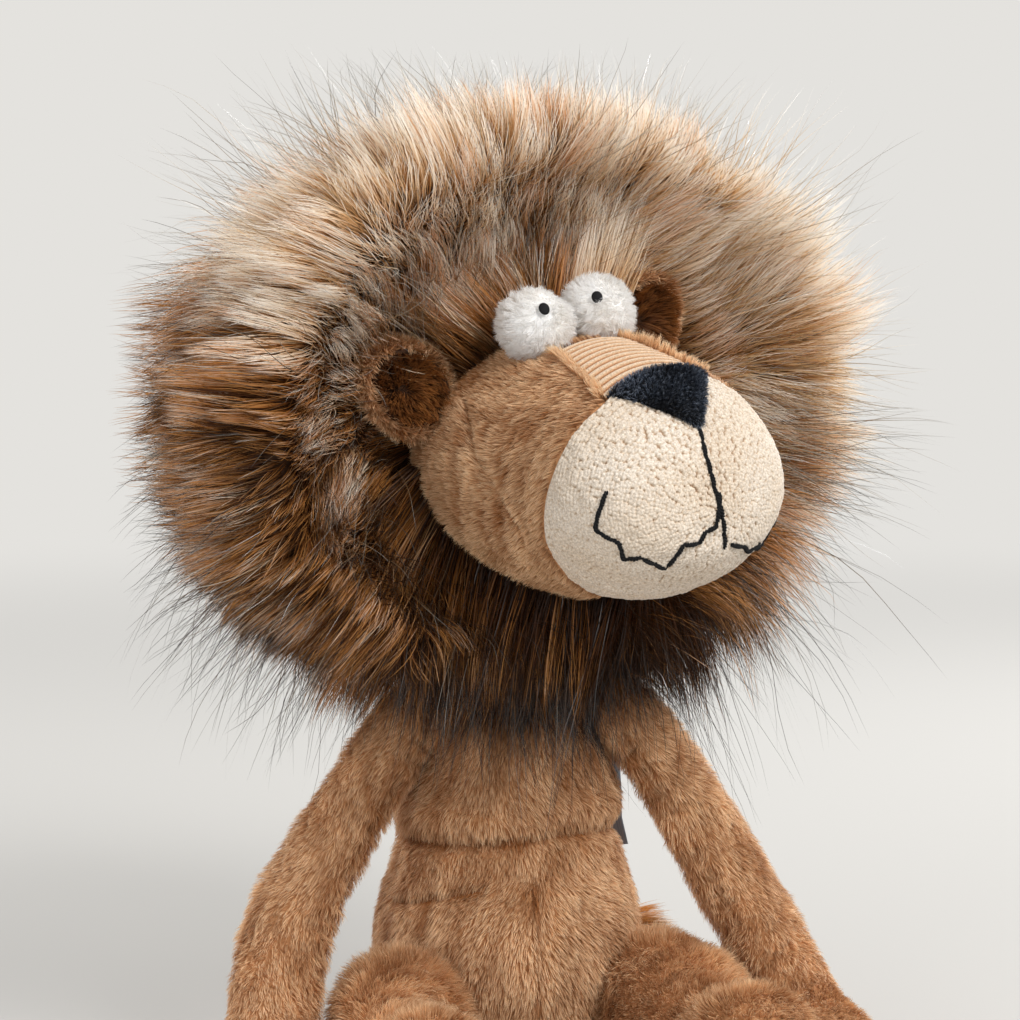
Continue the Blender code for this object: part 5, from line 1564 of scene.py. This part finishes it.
class LION_OT_mane(bpy.types.Operator):
    """Sews the mane's panels and grows their undercoat, long hair and guard hair"""

    bl_idname = "lion.mane"
    bl_label = "Sew Mane"

    def execute(self, context):
        total = context.scene.lion_pile.mane_hairs
        shares = {"crown": 0.16, "right": 0.19, "throat": 0.14, "left": 0.16, "back": 0.10, "brow": 0.25}
        locks = ((10, 0.45, 0.42), (60, 0.5, 0.62), (400, 0.3, 0.55))
        for index, (panel, share) in enumerate(shares.items()):
            if panel == "brow":
                skin = brow_skin()
            else:
                grid = mane_grid(panel)
                skin = Skin(grid, flip=True)
                body = Skin(from_head(grid), flip=True)
                item = mesh_from("mane_" + panel + "_body", body.points, body.quads, looks["mane_base"])
                dress(item, "head", "long_pile", "mane_" + panel)
            seed = 100 + index * 7
            length = {"brow": 92, "throat": 56, "back": 52}.get(panel, 48)
            lift = {"brow": 0, "back": 30}.get(panel, 16)
            mane_hair(
                "mane_" + panel + "_undercoat", skin, int(total * share * 0.6), length * 0.6, 0.5,
                "mane_under", seed, 4, lift and lift + 12, ((30, 0.45, 0.2),),
                lambda points: mane_tone_with_painted_light(points) - 0.32,
            )
            mane_hair(
                "mane_" + panel + "_hair", skin, int(total * share), length, 0.42,
                "mane", seed + 1, 9 if panel == "brow" else 7, lift, locks, mane_tone_with_painted_light,
            )
            longer = {"brow": 1.35, "throat": 1.25}.get(panel, 1.7)
            mane_hair(
                "mane_" + panel + "_guard", skin, int(total * share * 0.12), length * longer, 0.36,
                "guard", seed + 2, 8, lift and lift + 8, ((5, 0.15, 0.2),),
                lambda points: 0.7 * mane_tone_with_painted_light(points) - 0.15, stray=0.22,
            )
        return {"FINISHED"}


class LION_OT_label(bpy.types.Operator):
    """Hangs the bare satin label from the side seam"""

    bl_idname = "lion.label"
    bl_label = "Hang Label"

    def execute(self, context):
        share = np.linspace(0, 1, 60)[:, None]
        across = np.linspace(0, 1, 12)[None]
        height = LABEL_TOP_SHARE * TORSO_HEIGHT - share * LABEL_LENGTH
        wide, deep = torso_halves(height, 0.6 * MM)
        bow = LABEL_BOW * np.sin(math.pi * share)
        x = wide * math.cos(LABEL_BACK_ANGLE) + across * LABEL_WIDTH * math.cos(LABEL_TURN)
        y = deep * math.sin(LABEL_BACK_ANGLE) - across * LABEL_WIDTH * math.sin(LABEL_TURN) + bow * across
        z = height + 0 * across
        grid = np.stack([x, y + 0.4 * MM, z], axis=-1)
        skin = Skin(grid)
        uv = np.stack([np.broadcast_to(across, x.shape), np.broadcast_to(share, x.shape)], axis=-1)
        item = mesh_from("care_label_ribbon", skin.points, skin.quads, looks["satin"], uv)
        thick = item.modifiers.new("ribbon", "SOLIDIFY")
        thick.thickness = 0.4 * MM
        dress(item, "torso", "satin_ribbon", "care_label")
        return {"FINISHED"}


class LION_OT_stage(bpy.types.Operator):
    """Sets the plain floor, the studio lamps and the camera"""

    bl_idname = "lion.stage"
    bl_label = "Set Stage"

    def execute(self, context):
        scene = context.scene
        scene.view_settings.view_transform = "Standard"
        material, tree = new_material("studio_paper")
        matt = {"Base Color": linear("#BCBAB6"), "Roughness": 0.9}
        paper = add_node(tree, "ShaderNodeBsdfPrincipled", matt)
        # far from the lion the paper runs into the pale air, so that no edge of the floor shows
        place = add_node(tree, "ShaderNodeTexCoord")
        far = add_node(tree, "ShaderNodeVectorMath", {0: place.outputs["Object"]}, operation="LENGTH")
        share = add_node(
            tree, "ShaderNodeMapRange", {0: far.outputs["Value"], 1: 0.5, 2: 2.0},
            interpolation_type="SMOOTHSTEP",
        )
        path = add_node(tree, "ShaderNodeLightPath")
        seen = add_node(
            tree, "ShaderNodeMath", {0: share.outputs[0], 1: path.outputs["Is Camera Ray"]},
            operation="MULTIPLY",
        )
        haze = add_node(tree, "ShaderNodeEmission", {"Color": linear("#E4E2DE")})
        parts = {0: seen.outputs[0], 1: paper.outputs[0], 2: haze.outputs[0]}
        both = add_node(tree, "ShaderNodeMixShader", parts)
        add_node(tree, "ShaderNodeOutputMaterial", {"Surface": both.outputs[0]})
        reach = np.linspace(-12, 12, 9)
        grid = np.stack([*np.meshgrid(reach, reach), np.zeros((9, 9))], axis=-1)
        floor = mesh_from("studio_floor", grid, Skin(grid).quads, material)
        world = bpy.data.worlds.new("studio_air")
        scene.world = world
        world.use_nodes = True
        tree = world.node_tree
        tree.nodes.clear()
        path = add_node(tree, "ShaderNodeLightPath")
        soft = add_node(tree, "ShaderNodeBackground", {"Color": linear("#F2F2F2"), "Strength": 0.46})
        pale = add_node(tree, "ShaderNodeBackground", {"Color": linear("#E4E2DE"), "Strength": 1.0})
        seen = path.outputs["Is Camera Ray"]
        both = add_node(tree, "ShaderNodeMixShader", {0: seen, 1: soft.outputs[0], 2: pale.outputs[0]})
        add_node(tree, "ShaderNodeOutputWorld", {"Surface": both.outputs[0]})
        middle = Vector((0.0, 0.0, 0.26))
        lamps = (
            ("key", (0.7, -1.25, 1.4), 0.8, 27.0),
            ("fill", (-1.4, -1.0, 0.6), 1.1, 7.5),
            ("rim_left", (-0.95, 1.0, 1.25), 0.6, 15.0),
            ("rim_right", (1.1, 0.85, 1.0), 0.6, 15.0),
        )
        for name, place, size, power in lamps:
            data = bpy.data.lights.new(name, "AREA")
            data.size = size
            data.energy = power
            lamp = link(bpy.data.objects.new(name, data))
            lamp.visible_camera = False
            lamp.location = place
            lamp.rotation_euler = (middle - Vector(place)).to_track_quat("-Z", "Y").to_euler()
        azimuth, elevation, distance = math.radians(-16), math.radians(6), 1.25
        target = Vector((0.0, -0.006, 0.2375))
        back = Vector((
            math.sin(azimuth) * math.cos(elevation), -math.cos(azimuth) * math.cos(elevation),
            math.sin(elevation),
        ))
        data = bpy.data.cameras.new("portrait_camera")
        data.sensor_width = 36.0
        data.lens = 102.6
        camera = link(bpy.data.objects.new("portrait_camera", data))
        camera.location = target + back * distance
        camera.rotation_euler = (-back).to_track_quat("-Z", "Y").to_euler()
        scene.camera = camera
        return {"FINISHED"}


class LION_PT_panel(bpy.types.Panel):
    """Buttons for each piece"""

    bl_label = "Plush Lion"
    bl_idname = "LION_PT_panel"
    bl_space_type = "VIEW_3D"
    bl_region_type = "UI"
    bl_category = "Plush Lion"

    def draw(self, context):
        layout = self.layout
        for settings in (context.scene.lion_face, context.scene.lion_pile):
            for key in settings.__annotations__:
                layout.prop(settings, key)
        for operator in OPERATORS:
            layout.operator(operator.bl_idname)


SETTINGS = {"lion_face": LionFaceSettings, "lion_pile": LionPileSettings}
OPERATORS = (
    LION_OT_materials, LION_OT_torso, LION_OT_limbs, LION_OT_head, LION_OT_face, LION_OT_mane,
    LION_OT_label, LION_OT_stage,
)


def register():
    for name, group in SETTINGS.items():
        bpy.utils.register_class(group)
        setattr(bpy.types.Scene, name, bpy.props.PointerProperty(type=group))
    for operator in OPERATORS:
        bpy.utils.register_class(operator)
    bpy.utils.register_class(LION_PT_panel)


def unregister():
    bpy.utils.unregister_class(LION_PT_panel)
    for operator in reversed(OPERATORS):
        bpy.utils.unregister_class(operator)
    for name, group in SETTINGS.items():
        delattr(bpy.types.Scene, name)
        bpy.utils.unregister_class(group)


def main():
    register()
    for operator in OPERATORS:
        getattr(bpy.ops.lion, operator.bl_idname.split(".")[1])()


if __name__ == "__main__":
    main()
